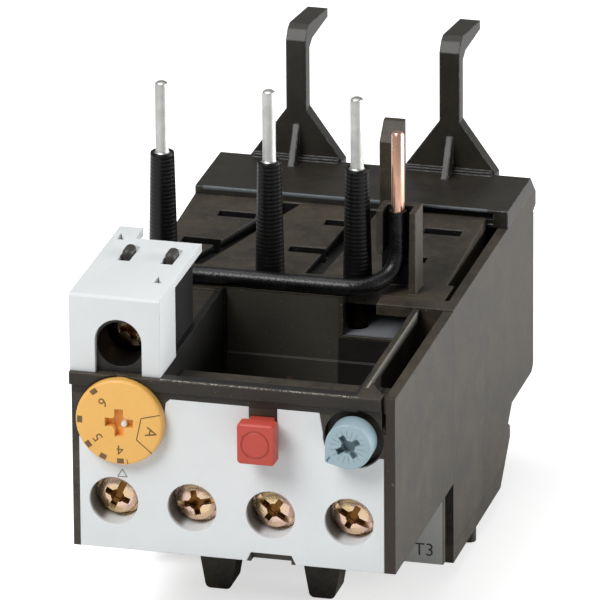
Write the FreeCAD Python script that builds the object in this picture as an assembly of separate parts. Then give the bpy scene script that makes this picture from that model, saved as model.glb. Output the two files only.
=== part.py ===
"""Plug-on thermal overload relay for a 45 mm contactor, as an assembly of separate pieces.

Millimetres. While it is modelled, x runs across the casing from its middle, y runs back from the
front face and z runs up from the bottom edge of the front panel. At the end everything is moved
together, so that the origin is under the middle of the whole part, on the surface it stands on.
"""
import FreeCAD
import Part
import math
import os

V = FreeCAD.Vector

# ---------------------------------------------------------------- casing
width = 45.0                # across both casings
flank = width / 2           # x of the outer side walls
wall = 1.4                  # moulded outer walls
front_top = 25.3            # top of the front casing
front_length = 32.8         # front face to the parting line
rear_top = front_top + 0.2  # top of the rear casing's side walls
rear_back = front_length + 47.8     # front face to the back wall
rear_floor = -9.3           # lower edge of the rear casing's sides
rear_corner = rear_back - 21.0      # where the bottom turns up towards the back
heel_y = rear_back - 13.0   # top of the slanted lower back
heel_z = -1.6               # underside of the overhanging back
inner_floor = 1.4           # floor above the load terminals
partition = 1.2             # walls between the phases
phase_splits = (flank * -0.4133, flank * 0.2356)    # middle of each wall between phases
relief = (0.2, 2.6)         # step at the front casing's left front corner

# ---------------------------------------------------------------- front panel
panel_left = -flank + 1.15
panel_right = flank - 1.55
panel_top = front_top - 2.9
panel_thick = 1.3
panel_dial_top = 15.9       # panel's upper edge under the dial
notch_bottom = 1.25         # raised notch in the panel's lower edge
notch_x = (flank * 0.109, flank * 0.358)
screw_z = 6.95              # auxiliary screw axes
screw_pitch = (width - 1.4) / 4
screw_mid = -0.25           # middle of the row of four
well_radius = 3.4
collar = 0.8                # collar wall

# ---------------------------------------------------------------- terminals
shank_radius = 1.5
head_radius = 2.8
head_thick = 2.2
recess_arm = 1.9            # cross recess, half length of an arm
recess_width = 0.75
recess_depth = 1.3
clamp_thick = 1.0
clamp_half = 3.5            # clamp plates, half width and half height
strip_thick = 1.0           # contact strips and bars
screw_fit = 0.05            # shank in clamp and bar
slack = 0.3                 # clearance round clamp plates
wire_gap = 4.4              # clamp open over its strip
aux_head_front = 1.7        # front of each auxiliary screw head
aux_bay = 9.2               # inside width of each auxiliary bay
aux_bay_top = 12.2
aux_bay_back = 17.6
aux_entry = 5.2             # wire entry below each auxiliary terminal
load_x = [flank * share for share in (-0.7111, -0.0844, 0.5867)]
load_z = -4.9
load_head_front = front_length - 4.5
load_bay_back = front_length + 11.2
load_bay_half = 4.6
load_bay_top = -0.4

# ---------------------------------------------------------------- load terminal block
block_front = front_length - 6.0
block_thick = 1.2
block_bottom = -9.6
barrier_x = (flank * -0.36, flank * 0.293)          # middle of each barrier between the screws
barrier_width = 5.0
barrier_foot = 3.5          # barrier width at its lower end
barrier_waist = -9.8        # where the barrier starts to narrow
barrier_front = front_length - 10.8
barrier_bottom = -14.15
end_web_x = flank - 1.9     # walls that close the outer load bays

# ---------------------------------------------------------------- pocket for the contactor
pocket_left = -flank + 12.3
pocket_right = flank - 5.6
rail = 0.9                  # wall right of the pocket
pocket_floor = 11.6
pocket_back = front_length + 1.6    # front face of the wall behind the pocket
chamber_back = 9.6          # mechanism chamber behind the front
chamber_top = front_top - 4.0
roof = 1.0
front_wall = 2.9            # front face to the chamber
coil_floor_thick = 1.7      # casing under the coil terminal
window_left = flank * 0.2933        # window in the wall behind the pocket
window_floor = rear_top - 5.7
window_top = rear_top - 1.6
crease_z = 16.0             # top of the thicker lower part of that wall
crease_step = 0.4
lip_out = 0.5
lip_height = 1.8
groove_floor = 16.0         # gap between rail and side wall
gap_x = (flank - 1.83, flank - 1.26)    # slit in the front beside the knob
gap_low = 20.0

# ---------------------------------------------------------------- deck
deck_right = flank - 3.1
deck_jog = 1.0              # how much wider the deck's level front end is
deck_rise = 1.4             # how far the deck climbs from its level front end to its back
deck_front = front_length + 3.2
deck_back = rear_back - 15.7
deck_thick = 1.6
deck_groove = 2.5
deck_groove_depth = 0.9
gutter_depth = 2.9          # gutter between the deck's right edge and the side wall
gutter_thick = 0.8
lintel_left = pocket_right - 5.2    # left end of the ledge over the window
shelf_thick = 1.0
shelf_back = front_length + 13.2
groove_fronts = (flank * -0.742, flank * 0.018)     # x of each groove where the slope begins
groove_backs = (flank * -0.369, flank * 0.129)      # x of each groove at the deck's back
slot_x = [flank * share for share in (-0.782, -0.1, 0.529)]
slot_length = 5.4
slot_width = 1.9
slot_rows = ((0, deck_back - 15.5), (2.7, deck_back - 5.9))     # (shift along x, y) of each row
post_x = flank - 9.15       # channel post that holds the coil lead
post_width = 5.5
post_wall = 0.9
post_depth = 4.3
post_top = rear_top + 11.9
stub_x = flank * 0.3289
stub_width = 2.9
stub_depth = 3.6
stub_top = rear_top + 16.5
stub_y = deck_back - 7.3

# ---------------------------------------------------------------- rear cover and hooks
plateau_top = rear_top + 2.5
undercut = (8.0, 1.6, 0.35)     # recess in the plateau's front: left end, depth, lip above it
ridge_back = rear_back + 1.3
ridge_top = rear_top - 0.6
ridge_low = ridge_top - 2.0
skirt_low = ridge_low - 0.7
skirt_in = rear_back - 1.0  # inner face of the rear cover's skirt
hook_y = rear_back - 1.9    # front face of the hook plates
hook_thick = 2.1
hook_x = (flank * -0.5067, flank * 0.48)
hook_width = 2.9
gusset_half = 6.7           # half width of each triangular hook foot
gusset_height = 7.4
hook_bend = plateau_top + 17.6
arm_length = 12.4
arm_drop = 0.9
arm_thick = 2.6             # at the bend
arm_tip = 1.3
rib_length = 3.4
rib_height = 5.2
rib_thick = 0.9

# ---------------------------------------------------------------- base cover
base_thick = 2.5
foot_x = flank - 1.2
foot_y = front_length + 14.0
foot_radius = 1.0

# ---------------------------------------------------------------- contact pins
pin_x = [flank * share for share in (-0.8844, -0.2111, 0.34)]
pin_y = front_length + 5.7
pin_radius = 1.2            # inside the sleeve
tip_radius = 0.92           # bare end that goes into the contactor
pin_top = rear_top + 27.6
pin_foot = 14.0
sleeve_top = rear_top + 17.4
sleeve_foot_radius = 2.05
sleeve_head_radius = 1.65
sleeve_fit = 0.03

# ---------------------------------------------------------------- coil terminal and lead
coil_x = -flank + 6.8
coil_z = front_top + 4.0
coil_bore = 3.2
shroud_left = -flank
shroud_right = -flank + 12.6
shroud_top = front_top + 11.1
shroud_wall = 1.1
shroud_length = 21.9
shroud_skirt = 8.0
shroud_tab = shroud_length + 4.0
shroud_tab_width = 3.3
arch_half = 3.25
box_back = 21.0
box_wall = 1.4
coil_head_front = 6.8
coil_gap = 3.9
coil_clamp_half = 3.0
coil_floor = 0.5
lead_radius = 1.2
copper_radius = 0.9
lead_x = -flank + 4.1       # where the lead leaves the coil terminal
lead_y = pocket_back + 0.5  # lead along the top of the wall
lead_z = rear_top + lead_radius + 0.03
lead_up_y = pin_y + 0.5     # the lead's upright stretch
copper_top = rear_top + 22.9
lead_corner = 5.0

# ---------------------------------------------------------------- dial, button, knob
dial_x = -flank + 7.2
dial_z = 18.95
dial_radius = 6.1
dial_front = -1.6
dial_back = -0.1
shaft_radius = 1.9
shaft_end = 8.0
cam_radius = 1.3
cam_offset = 0.5
collar_radius = 2.6
turn_fit = 0.05
button_x = flank * 0.1911
button_z = 18.6
button_width = 5.25
button_height = 5.8
button_front = -4.2
button_thick = 2.1
stem_width = 3.3
stem_height = 5.0
slide_fit = 0.08
knob_x = flank - 5.65
knob_z = 19.2
knob_radius = 3.2
knob_front = -3.4
knob_bore = 4.1
knob_length = 3.4
knob_seat = 1.7             # depth of the bore round the knob
knob_stem = 1.2
plunger_radius = 1.5
panel_shoulder_x = dial_x + 6.1     # panel edge beside the dial
panel_slant = knob_x - 4.75         # where the panel's top edge ends before the knob

# ---------------------------------------------------------------- mechanism
strip_y = (front_length + 9.7, front_length + 38.2)     # bimetals, free end to fixed end
bimetal_x = [flank * share for share in (-0.64, -0.0844, 0.5511)]
bimetal_thick = 1.0
bimetal_half = 3.0
bimetal_z = 8.0
winding_turns = 8
winding_pitch = 2.4
winding_start = front_length + 15.2
strap_z = (14.2, 14.8)      # straps from the windings to the contact pins
bar_z = (1.5, 2.7)          # load bars along the inner floor
slide_y = (front_length + 7.5, front_length + 8.5)      # trip slide across the phases
slide_z = (5.2, 13.4)
slide_right = bimetal_x[2] + 4.0
slide_travel = 1.5
finger = 1.0
play = 0.2                  # between parts of the mechanism that push each other
lever_y = front_length - 2.4
lever_z = (5.4, 8.4)
lever_thick = 0.9
lever_hub = 1.7
pivot_radius = 0.8
carrier_y = (aux_bay_back + 3.4, aux_bay_back + 5.8)
carrier_z = (3.5, 7.4)
carrier_right = flank - 3.5
bridge_thick = 1.2
bridge_z = (6.4, 7.2)
tongue_z = (9.0, 9.8)       # tongues of the auxiliary strips
tongue_width = 1.2
tongue_side = 2.6           # tongues beside the middle of their strips

aux_x = [screw_mid + screw_pitch * (i - 1.5) for i in range(4)]
room_lows = [-flank + wall] + [x + partition / 2 for x in phase_splits]
room_highs = [x - partition / 2 for x in phase_splits] + [flank - wall]
aux_clamp_front = aux_head_front + head_thick
aux_strip_front = aux_clamp_front + clamp_thick + wire_gap
load_clamp_front = load_head_front + head_thick
load_bar_front = load_clamp_front + clamp_thick + wire_gap
coil_clamp_front = coil_head_front + head_thick
coil_bar_front = coil_clamp_front + clamp_thick + coil_gap
slide_left = bimetal_x[0] - bimetal_thick / 2 - play - finger
lever_x = slide_left - play - lever_thick / 2
carrier_left = lever_x + lever_thick / 2 + play
bridge_y = (carrier_y[1], carrier_y[1] + bridge_thick)


# ---------------------------------------------------------------- helpers
def box(x, y, z):
    """Make a box from its three (low, high) pairs."""
    return Part.makeBox(x[1] - x[0], y[1] - y[0], z[1] - z[0], V(x[0], y[0], z[0]))


def rod_y(x, z, radius, y):
    """Make a rod along y, from y[0] to y[1]."""
    return Part.makeCylinder(radius, y[1] - y[0], V(x, y[0], z), V(0, 1, 0))


def rod_z(x, y, radius, z):
    """Make a rod along z, from z[0] to z[1]."""
    return Part.makeCylinder(radius, z[1] - z[0], V(x, y, z[0]), V(0, 0, 1))


def slab(edges, along):
    """Close the edges into a face and push it along a vector."""
    return Part.Face(Part.Wire(edges)).extrude(along)


def outline(points):
    """Join points with straight edges into a closed outline."""
    return Part.makePolygon(list(points) + [points[0]]).Edges


def prism_x(points, x):
    """Extrude a (y, z) outline from x[0] to x[1]."""
    return slab(outline([V(x[0], y, z) for y, z in points]), V(x[1] - x[0], 0, 0))


def prism_y(points, y):
    """Extrude an (x, z) outline from y[0] to y[1]."""
    return slab(outline([V(x, y[0], z) for x, z in points]), V(0, y[1] - y[0], 0))


def prism_z(points, z):
    """Extrude an (x, y) outline from z[0] to z[1]."""
    return slab(outline([V(x, y, z[0]) for x, y in points]), V(0, 0, z[1] - z[0]))


def joined(first, *rest):
    """Fuse solids into one and clean its faces."""
    shape = first
    for other in rest:
        shape = shape.fuse(other)
    return shape.removeSplitter()


def round_edges(shape, radius, wanted):
    """Fillet the edges that the wanted test picks."""
    return shape.makeFillet(radius, [e for e in shape.Edges if wanted(e)])


def span(middle, size):
    """Give the (low, high) pair of a size centred on a middle."""
    return (middle - size / 2, middle + size / 2)


def along(edge, axis):
    """Tell whether a straight edge runs along the named axis."""
    if not isinstance(edge.Curve, Part.Line):
        return False
    return abs(getattr(edge.Curve.Direction, axis)) > 0.999


# ---------------------------------------------------------------- screw terminals
def terminal_screw(x, z, front, end, turn):
    """Make a cross-recess screw along y with its head's front at the given place."""
    head = rod_y(x, z, head_radius, (front, front + head_thick))
    rim = round_edges(head, 0.5, lambda e: abs(e.CenterOfMass.y - front) < 0.01 and e.Length > 1)
    shape = rim.fuse(rod_y(x, z, shank_radius, (front + head_thick, end)))
    for angle in (0, 90):
        arm = box(span(x, 2 * recess_arm), (front, front + recess_depth), span(z, recess_width))
        arm.rotate(V(x, 0, z), V(0, 1, 0), angle + turn)
        shape = shape.cut(arm)
    return shape


def clamp_plate(x, z, front, reach=clamp_half):
    """Make a square clamp plate with its two lower corners cut and a hole for the screw."""
    cut = reach / 3
    low = z - reach + cut
    corners = [(x - reach, z + reach), (x + reach, z + reach), (x + reach, low),
               (x + reach - cut, z - reach), (x - reach + cut, z - reach), (x - reach, low)]
    plate = prism_y(corners, (front, front + clamp_thick))
    return plate.cut(rod_y(x, z, shank_radius + screw_fit, (front - 1, front + clamp_thick + 1)))


def aux_screw(index):
    """Make one auxiliary terminal screw."""
    end = aux_strip_front + strip_thick + 0.8
    return terminal_screw(aux_x[index], screw_z, aux_head_front, end, (28, 12, 48, 35)[index])


def aux_strip(index):
    """Make one auxiliary contact strip: clamping face, bend and tongue up to the switch."""
    x = aux_x[index]
    y = (aux_strip_front, aux_strip_front + strip_thick)
    hole = rod_y(x, screw_z, shank_radius + screw_fit, (y[0] - 1, y[1] + 1))
    face = box(span(x, 2 * clamp_half), y, (inner_floor, screw_z + clamp_half)).cut(hole)
    across = span(x + tongue_side, tongue_width)
    tongue = box(across, (y[0], bridge_y[1] - 0.2), tongue_z)
    contact = box(across, (bridge_y[0] + 0.2, bridge_y[1] - 0.2), (bridge_z[1] + 0.05, tongue_z[0]))
    return joined(face, tongue, contact)


# ---------------------------------------------------------------- front casing
def panel_outline(y):
    """Outline of the front panel, with the dial and knob sides cut back."""
    reach = knob_bore + 0.2
    down = knob_z - math.sqrt(reach ** 2 - (panel_right - knob_x - 0.7) ** 2)
    start_z = knob_z + math.sqrt(reach ** 2 - (panel_slant + 0.7 - knob_x) ** 2)
    start = V(panel_slant + 0.7, y, min(start_z, knob_z + 0.4))
    start.x = knob_x - math.sqrt(reach ** 2 - (start.z - knob_z) ** 2)
    finish = V(panel_right - 0.7, y, down)
    tilt = math.radians(35)
    middle = V(knob_x - reach * math.sin(tilt), y, knob_z - reach * math.cos(tilt))
    slot = span(button_x, stem_width + 0.6)
    slot_low = button_z - stem_height / 2 - 0.3
    before = [(panel_right, finish.z), (panel_right, 0), (notch_x[1] + 0.6, 0), (notch_x[1], notch_bottom),
              (notch_x[0], notch_bottom), (notch_x[0] - 0.6, 0), (panel_left, 0),
              (panel_left, panel_dial_top), (panel_shoulder_x - 0.5, panel_dial_top + 2.3),
              (panel_shoulder_x, panel_top - 0.6), (panel_shoulder_x + 0.6, panel_top),
              (slot[0], panel_top), (slot[0], slot_low), (slot[1], slot_low), (slot[1], panel_top),
              (panel_slant, panel_top)]
    points = [finish] + [V(x, y, z) for x, z in before] + [start]
    edges = [Part.makeLine(a, b) for a, b in zip(points, points[1:])]
    return edges + [Part.Arc(start, middle, finish).toShape()]


def front_panel():
    """Make the pale front panel with its four screw wells."""
    shape = slab(panel_outline(0), V(0, panel_thick, 0))
    for x in aux_x:
        shape = shape.fuse(rod_y(x, screw_z, well_radius + collar, (panel_thick, aux_clamp_front - play)))
    for x in aux_x:
        shape = shape.cut(rod_y(x, screw_z, well_radius, (-1, aux_clamp_front)))
    dial_clear = rod_y(dial_x, dial_z, shaft_radius + 0.6, (-1, panel_thick + 1))
    return shape.cut(dial_clear).removeSplitter()


def front_casing():
    """Make the front casing: panel seat, terminal bays, mechanism chamber, pocket and side groove."""
    shape = box((-flank, flank), (0, front_length), (0, front_top))
    shape = shape.fuse(box((-flank, panel_right), (-lip_out, 0), (front_top - lip_height, front_top)))
    shape = shape.cut(slab(panel_outline(-1), V(0, 1 + panel_thick, 0)))
    inside = (-flank + wall, flank - wall)
    pocket_x = (pocket_left, pocket_right)
    to_back = front_length + 1
    above = front_top + 1
    for x in aux_x:
        shape = shape.cut(box(span(x, aux_bay), (0.5, aux_bay_back), (inner_floor - 0.4, aux_bay_top)))
        entry = (aux_clamp_front + clamp_thick, aux_strip_front)
        shape = shape.cut(box(span(x, aux_entry), entry, (-1, inner_floor)))
        shape = shape.cut(box(span(x + tongue_side, tongue_width + 0.2),
                              (aux_bay_back - 1, aux_bay_back + wall + 1),
                              (tongue_z[0] - 0.1, tongue_z[1] + 0.1)))
    shape = shape.cut(box((notch_x[0], notch_x[1]), (-1, panel_thick), (-1, notch_bottom)))
    # chamber of the mechanism, higher under the coil terminal
    shape = shape.cut(box(inside, (front_wall, chamber_back), (aux_bay_top + 1, chamber_top)))
    shape = shape.cut(box((inside[0], pocket_left - wall), (front_wall, to_back),
                          (aux_bay_top + 1, front_top - coil_floor_thick)))
    # space behind the auxiliary bays, open to the rear casing
    shape = shape.cut(box(inside, (aux_bay_back + wall, to_back), (inner_floor, pocket_floor - wall)))
    # pocket, open to the top and to the back
    shape = shape.cut(box(pocket_x, (chamber_back + wall, to_back), (pocket_floor, above)))
    shape = shape.cut(box(pocket_x, (wall, to_back), (chamber_top + roof, above)))
    # groove between the pocket's right wall and the side wall
    groove_x = (pocket_right + rail, flank - wall)
    groove = box(groove_x, (wall, to_back), (groove_floor, above))
    over = box(groove_x, (wall, chamber_back + wall), (groove_floor, chamber_top + roof))
    shape = shape.cut(groove.cut(over))
    # undercut that leaves a lip along the top of the pocket's right wall
    shape = shape.cut(box((pocket_right + rail / 2, pocket_right + rail),
                          (chamber_back + wall, to_back), (groove_floor, front_top - 1.4)))
    # bores for the dial, the button and the knob
    shape = shape.cut(rod_y(dial_x, dial_z, dial_radius + 0.3, (-1, 0)))
    shape = shape.cut(rod_y(dial_x, dial_z, shaft_radius + turn_fit, (-1, front_wall + 1)))
    stem = box(span(button_x, stem_width + 2 * slide_fit), (-1, front_wall + 1),
               span(button_z, stem_height + 2 * slide_fit))
    shape = shape.cut(stem)
    shape = shape.cut(rod_y(knob_x, knob_z, knob_bore, (-1, knob_seat)))
    shape = shape.cut(rod_y(knob_x, knob_z, plunger_radius + turn_fit, (-1, front_wall + 1)))
    corner = pocket_right + rail
    gusset = prism_z([(corner, wall), (corner + 2.6, wall), (corner, wall + 4.2)],
                     (chamber_top + roof, front_top))
    # slit beside the knob and step at the left front corner
    shape = shape.cut(box(gap_x, (-1, wall + 0.5), (gap_low, above)))
    shape = shape.cut(box((-flank - 1, -flank + relief[0]), (-1, relief[1]),
                          (-1, front_top - lip_height)))
    return joined(shape, gusset)


# ---------------------------------------------------------------- load terminal block
def load_terminal_block():
    """Make the lower front plate with three screw holes and the barriers between the phases."""
    shape = box((-flank, flank), (block_front, block_front + block_thick), (block_bottom, 0))
    behind = (block_front + block_thick, front_length)
    for x in barrier_x:
        top = span(x, barrier_width)
        low = span(x, barrier_foot)
        tab = prism_y([(top[0], 0), (top[1], 0), (top[1], barrier_waist), (low[1], barrier_bottom),
                       (low[0], barrier_bottom), (top[0], barrier_waist)], (barrier_front, block_front))
        tab = round_edges(tab, 0.8, lambda e: along(e, "y") and e.CenterOfMass.z < barrier_bottom + 0.1)
        web = box(span(x, barrier_width - 1.6), behind, (block_bottom, 0))
        shape = shape.fuse(tab).fuse(web)
    for x in (-end_web_x, end_web_x):
        shape = shape.fuse(box(span(x, 1.0), behind, (block_bottom, 0)))
    for x in load_x:
        shape = shape.cut(rod_y(x, load_z, head_radius + slack, (block_front - 1, behind[0] + 1)))
    return shape.removeSplitter()


def load_screw(index):
    """Make one load terminal screw."""
    end = load_bar_front + strip_thick + 0.8
    return terminal_screw(load_x[index], load_z, load_head_front, end, (20, 65, 40)[index])


def load_bar(index):
    """Make one load bar: clamping face, riser, run along the inner floor and post of the bimetal."""
    x = load_x[index]
    y = (load_bar_front, load_bar_front + strip_thick)
    hole = rod_y(x, load_z, shank_radius + screw_fit, (y[0] - 1, y[1] + 1))
    face = box(span(x, 2 * clamp_half), y, (load_z - clamp_half, load_bay_top)).cut(hole)
    riser = box(span(x, 4.0), y, (load_bay_top - 0.5, bar_z[1]))
    run = box(span(x, 4.0), (y[0], strip_y[1] + 3.0), bar_z)
    side = bimetal_x[index]
    foot = box((min(x, side) - 2.0, max(x, side) + 2.0), (strip_y[1], strip_y[1] + 3.0), bar_z)
    post = box((side + bimetal_thick / 2, side + 2.0), (strip_y[1] - 2.0, strip_y[1] + 3.0),
               (bar_z[0], bimetal_z + bimetal_half))
    return joined(face, riser, run, foot, post)


# ---------------------------------------------------------------- rear casing
def rear_profile(shrink, top):
    """Side outline of the rear casing, drawn in by shrink except at the open front."""
    slope = math.atan2(heel_z - rear_floor, heel_y - rear_corner)
    lean = shrink * math.tan(slope / 2)
    return [(front_length, top), (rear_back - shrink, top), (rear_back - shrink, heel_z + shrink),
            (heel_y - lean, heel_z + shrink), (rear_corner - lean, rear_floor + shrink),
            (front_length, rear_floor + shrink)]


def rear_casing():
    """Make the rear casing: shell, phase walls, load bays, wall behind the pocket and its window."""
    shape = prism_x(rear_profile(0, rear_top), (-flank, flank))
    shape = shape.cut(box((-flank - 1, flank + 1), (skirt_in, rear_back + 1), (skirt_low, rear_top + 1)))
    lean_back = rear_corner - 2 * wall
    for room in zip(room_lows, room_highs):
        shape = shape.cut(box(room, (deck_front + 0.1, rear_back - 2 * wall), (inner_floor, rear_top + 1)))
        low = prism_x(rear_profile(wall, inner_floor + 1), room)
        low = low.common(box(room, (load_bay_back + wall, rear_back - 2 * wall),
                             (rear_floor, inner_floor + 1)))
        mouth = box(room, (load_bay_back + wall, lean_back), (rear_floor - 1, rear_floor + wall + 0.1))
        shape = shape.cut(low).cut(mouth)
    # passage for the trip slide through the phase walls
    shape = shape.cut(box((-flank + wall, flank - wall), (slide_y[0] - 0.5, slide_y[1] + 0.5),
                          (slide_z[0] - 0.5, slide_z[1] + 0.5)))
    # seat of the deck
    shape = shape.cut(box((-flank + wall, flank - wall), (deck_front + 0.1, deck_back),
                          (rear_top - deck_thick, rear_top + 1)))
    # the deck lies on top of the left side wall
    shape = shape.cut(box((-flank - 1, -flank + wall + 1), (deck_front + 0.1, deck_back),
                          (rear_top - deck_thick, rear_top + 1)))
    # shelf below the window in the wall behind the pocket
    shelf = box((room_lows[2], room_highs[2]), (deck_front, shelf_back),
                (window_floor - shelf_thick, window_floor))
    shape = shape.fuse(shelf.cut(rod_z(pin_x[2], pin_y, pin_radius + 0.3, (0, rear_top))))
    # the wall behind the pocket stands back from the parting line, up to the ledge over the window
    back = box((pocket_left, pocket_right), (front_length - 1, pocket_back - crease_step),
               (pocket_floor, crease_z))
    back = back.fuse(box((pocket_left, pocket_right), (front_length - 1, pocket_back),
                         (crease_z, rear_top + 1)))
    ledge = box((lintel_left, pocket_right), (front_length, pocket_back), (window_top, rear_top))
    shape = shape.cut(back.cut(ledge))
    window = box((window_left, pocket_right), (front_length - 1, deck_front + 0.2),
                 (window_floor, window_top))
    notch = box((window_left, lintel_left), (front_length - 1, deck_front + 0.1),
                (window_top - 0.1, rear_top + 1))
    shape = shape.cut(window).cut(notch)
    # opening for the trip lever
    shape = shape.cut(box((lever_x - 3.4, lever_x + 2.4), (front_length - 1, deck_front + 0.2),
                          (lever_z[0] - 0.6, lever_z[1] + 0.6)))
    # load bays, open to the front and below
    for x in load_x:
        bay = box(span(x, 2 * load_bay_half), (front_length - 1, load_bay_back),
                  (rear_floor - 1, load_bay_top))
        riser = box(span(x, 4.2), (load_bar_front - 0.05, load_bar_front + strip_thick + 0.1),
                    (load_bay_top - 1, bar_z[1] + 0.1))
        shape = shape.cut(bay).cut(riser)
    edges = [e for e in shape.Edges if along(e, "x") and e.Length > width - 1
             and e.CenterOfMass.y > rear_back - 1 and e.CenterOfMass.z < 0]
    return shape.makeFillet(1.5, edges)


def base_cover():
    """Make the cover that closes the rear casing from below, with its two side feet."""
    below = prism_x(rear_profile(-base_thick, rear_top), (-flank, flank))
    below = below.cut(prism_x(rear_profile(0, rear_top), (-flank - 1, flank + 1)))
    keep = box((-flank, flank), (front_length, heel_y - 1.2), (rear_floor - base_thick - 1, heel_z + 1))
    shape = below.common(keep)
    for x in load_x:
        shape = shape.cut(box(span(x, 2 * load_bay_half), (front_length - 1, load_bay_back),
                              (rear_floor - base_thick - 1, rear_floor + 1)))
    shape = round_edges(shape, 1.0, lambda e: along(e, "x") and e.CenterOfMass.y > heel_y - 4
                        and e.Length > width - 1)
    for x in (-foot_x, foot_x):
        foot = rod_z(x, foot_y, foot_radius, (barrier_bottom, rear_floor - base_thick + 0.5))
        shape = shape.fuse(foot)
    return shape.removeSplitter()


# ---------------------------------------------------------------- deck
def deck_cover():
    """Make the deck: slope, grooves between the phases, slots, the lead's channel post and stub."""
    under = rear_top - deck_thick
    front = deck_front + 0.1
    over = rear_top + deck_rise + 1
    slope = pin_y + 3.3
    side = [(front, under), (deck_back, under), (deck_back, rear_top + deck_rise), (slope, rear_top),
            (front, rear_top)]
    shape = prism_x(side, (-flank, deck_right))
    shape = shape.fuse(box((deck_right - 1, deck_right + deck_jog), (front, slope), (under, rear_top)))
    # gutter along the right edge
    low = rear_top - gutter_depth
    shape = shape.fuse(box((deck_right - gutter_thick, flank - wall), (front, deck_back),
                           (low - gutter_thick, low)))
    shape = shape.fuse(box((deck_right - gutter_thick, deck_right), (front, deck_back), (low, rear_top)))
    half = deck_groove / 2
    for near, far in zip(groove_fronts, groove_backs):
        plan = [(near - half, slope), (near + half, slope), (far + half, deck_back - 0.6),
                (far - half, deck_back - 0.6)]
        shape = shape.cut(prism_z(plan, (rear_top - deck_groove_depth, over)))
    for x in slot_x:
        for shift, y in slot_rows:
            shape = shape.cut(box(span(x + shift, slot_length), span(y, slot_width), (under - 1, over)))
    for x in pin_x:
        shape = shape.cut(rod_z(x, pin_y, pin_radius + sleeve_fit, (under - 1, rear_top + 1)))
    post_y = lead_up_y - 1.7
    outer = box(span(post_x, post_width), (post_y, post_y + post_depth), (under, post_top))
    inner = box(span(post_x, post_width - 2 * post_wall),
                (post_y - 1, lead_up_y + lead_radius + 0.1), (rear_top, post_top + 1))
    stub = prism_x([(stub_y, under), (stub_y + stub_depth, under), (stub_y + stub_depth, stub_top),
                    (stub_y + 2.4, stub_top), (stub_y, stub_top - 2.4)], span(stub_x, stub_width))
    way_in = box((post_x - post_width, post_x), (lead_up_y - post_depth, lead_up_y + lead_radius + 0.1),
                 (rear_top, rear_top + 5.6))
    return joined(shape, outer.cut(inner).cut(way_in), stub)


def rear_cover():
    """Make the rear cover: plateau, back ridge and the two hooks that hold on to the contactor."""
    profile = [(deck_back, rear_top), (deck_back, plateau_top), (hook_y, plateau_top),
               (ridge_back, ridge_top), (ridge_back, ridge_low), (skirt_in, skirt_low),
               (skirt_in, rear_top)]
    shape = prism_x(profile, (-flank, flank))
    left, depth, lip = undercut
    shape = shape.cut(box((left, deck_right + deck_jog), (deck_back - 1, deck_back + depth),
                          (rear_top + 0.5, plateau_top - lip)))
    for x in hook_x:
        shape = shape.fuse(hook(x))
    return shape.removeSplitter()


def hook(x):
    """Make one hook: triangular foot, shaft, arm bent back and the rib in front."""
    back = hook_y + hook_thick
    low = plateau_top - 1.6
    shaft = span(x, hook_width)
    plate = prism_y([(x - gusset_half, low), (x + gusset_half, low), (x + gusset_half, plateau_top),
                     (shaft[1], plateau_top + gusset_height), (shaft[1], hook_bend),
                     (shaft[0], hook_bend), (shaft[0], plateau_top + gusset_height),
                     (x - gusset_half, plateau_top)], (hook_y, back))
    end_y = hook_y + arm_length
    end_z = hook_bend - arm_drop
    arm = prism_x([(hook_y, hook_bend - 1.6), (hook_y, hook_bend), (hook_y + 1.0, hook_bend + 1.4),
                   (hook_y + 2.2, hook_bend + 1.9), (end_y, end_z + 1.6), (end_y, end_z + 1.6 - arm_tip),
                   (back + 1.6, hook_bend + 1.9 - arm_thick), (back, hook_bend - 1.6)], shaft)
    rib = prism_x([(hook_y, plateau_top + rib_height), (hook_y - rib_length, plateau_top),
                   (hook_y, plateau_top)], span(x, rib_thick))
    ridge = box(span(x, 2 * gusset_half - 1.0), (hook_y - 0.8, hook_y),
                (plateau_top - 0.5, plateau_top + 0.5))
    return joined(plate, arm, rib, ridge)


# ---------------------------------------------------------------- pins
def contact_pin(index):
    """Make one contact pin with a slimmer, chamfered bare end."""
    thick = rod_z(pin_x[index], pin_y, pin_radius, (pin_foot, sleeve_top))
    pin = thick.fuse(rod_z(pin_x[index], pin_y, tip_radius, (sleeve_top, pin_top)))
    tip = [e for e in pin.Edges if e.CenterOfMass.z > pin_top - 0.01]
    return pin.makeChamfer(0.25, tip)


def pin_sleeve(index):
    """Make one tapered sleeve round a contact pin."""
    x = pin_x[index]
    shape = Part.makeCone(sleeve_foot_radius, sleeve_head_radius, sleeve_top - rear_top,
                          V(x, pin_y, rear_top))
    return shape.cut(rod_z(x, pin_y, pin_radius + sleeve_fit, (rear_top - 1, sleeve_top + 1)))


# ---------------------------------------------------------------- coil terminal
def coil_box():
    """Make the black terminal box that stands inside the shroud."""
    left = shroud_left + shroud_wall
    right = shroud_right - shroud_wall
    shape = box((left, right), (0.9, box_back), (front_top, shroud_top - shroud_wall))
    shape = shape.cut(rod_y(coil_x, coil_z, coil_bore, (0, coil_head_front)))
    room = box((left + box_wall, right - box_wall), (coil_head_front - 0.4, box_back - box_wall),
               (front_top + coil_floor, shroud_top - shroud_wall - 0.9))
    shape = shape.cut(room)
    shape = shape.cut(rod_y(lead_x, lead_z, lead_radius + sleeve_fit,
                            (box_back - 2 * box_wall, box_back + 1)))
    for x in shroud_slots():
        shape = shape.cut(box(span(x, 1.9), span(16.6, 5.2), (coil_z, shroud_top + 1)))
    return shape


def shroud_slots():
    """Places across of the two slots in the shroud's roof."""
    return (coil_x - 2.9, coil_x + 3.1)


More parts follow.
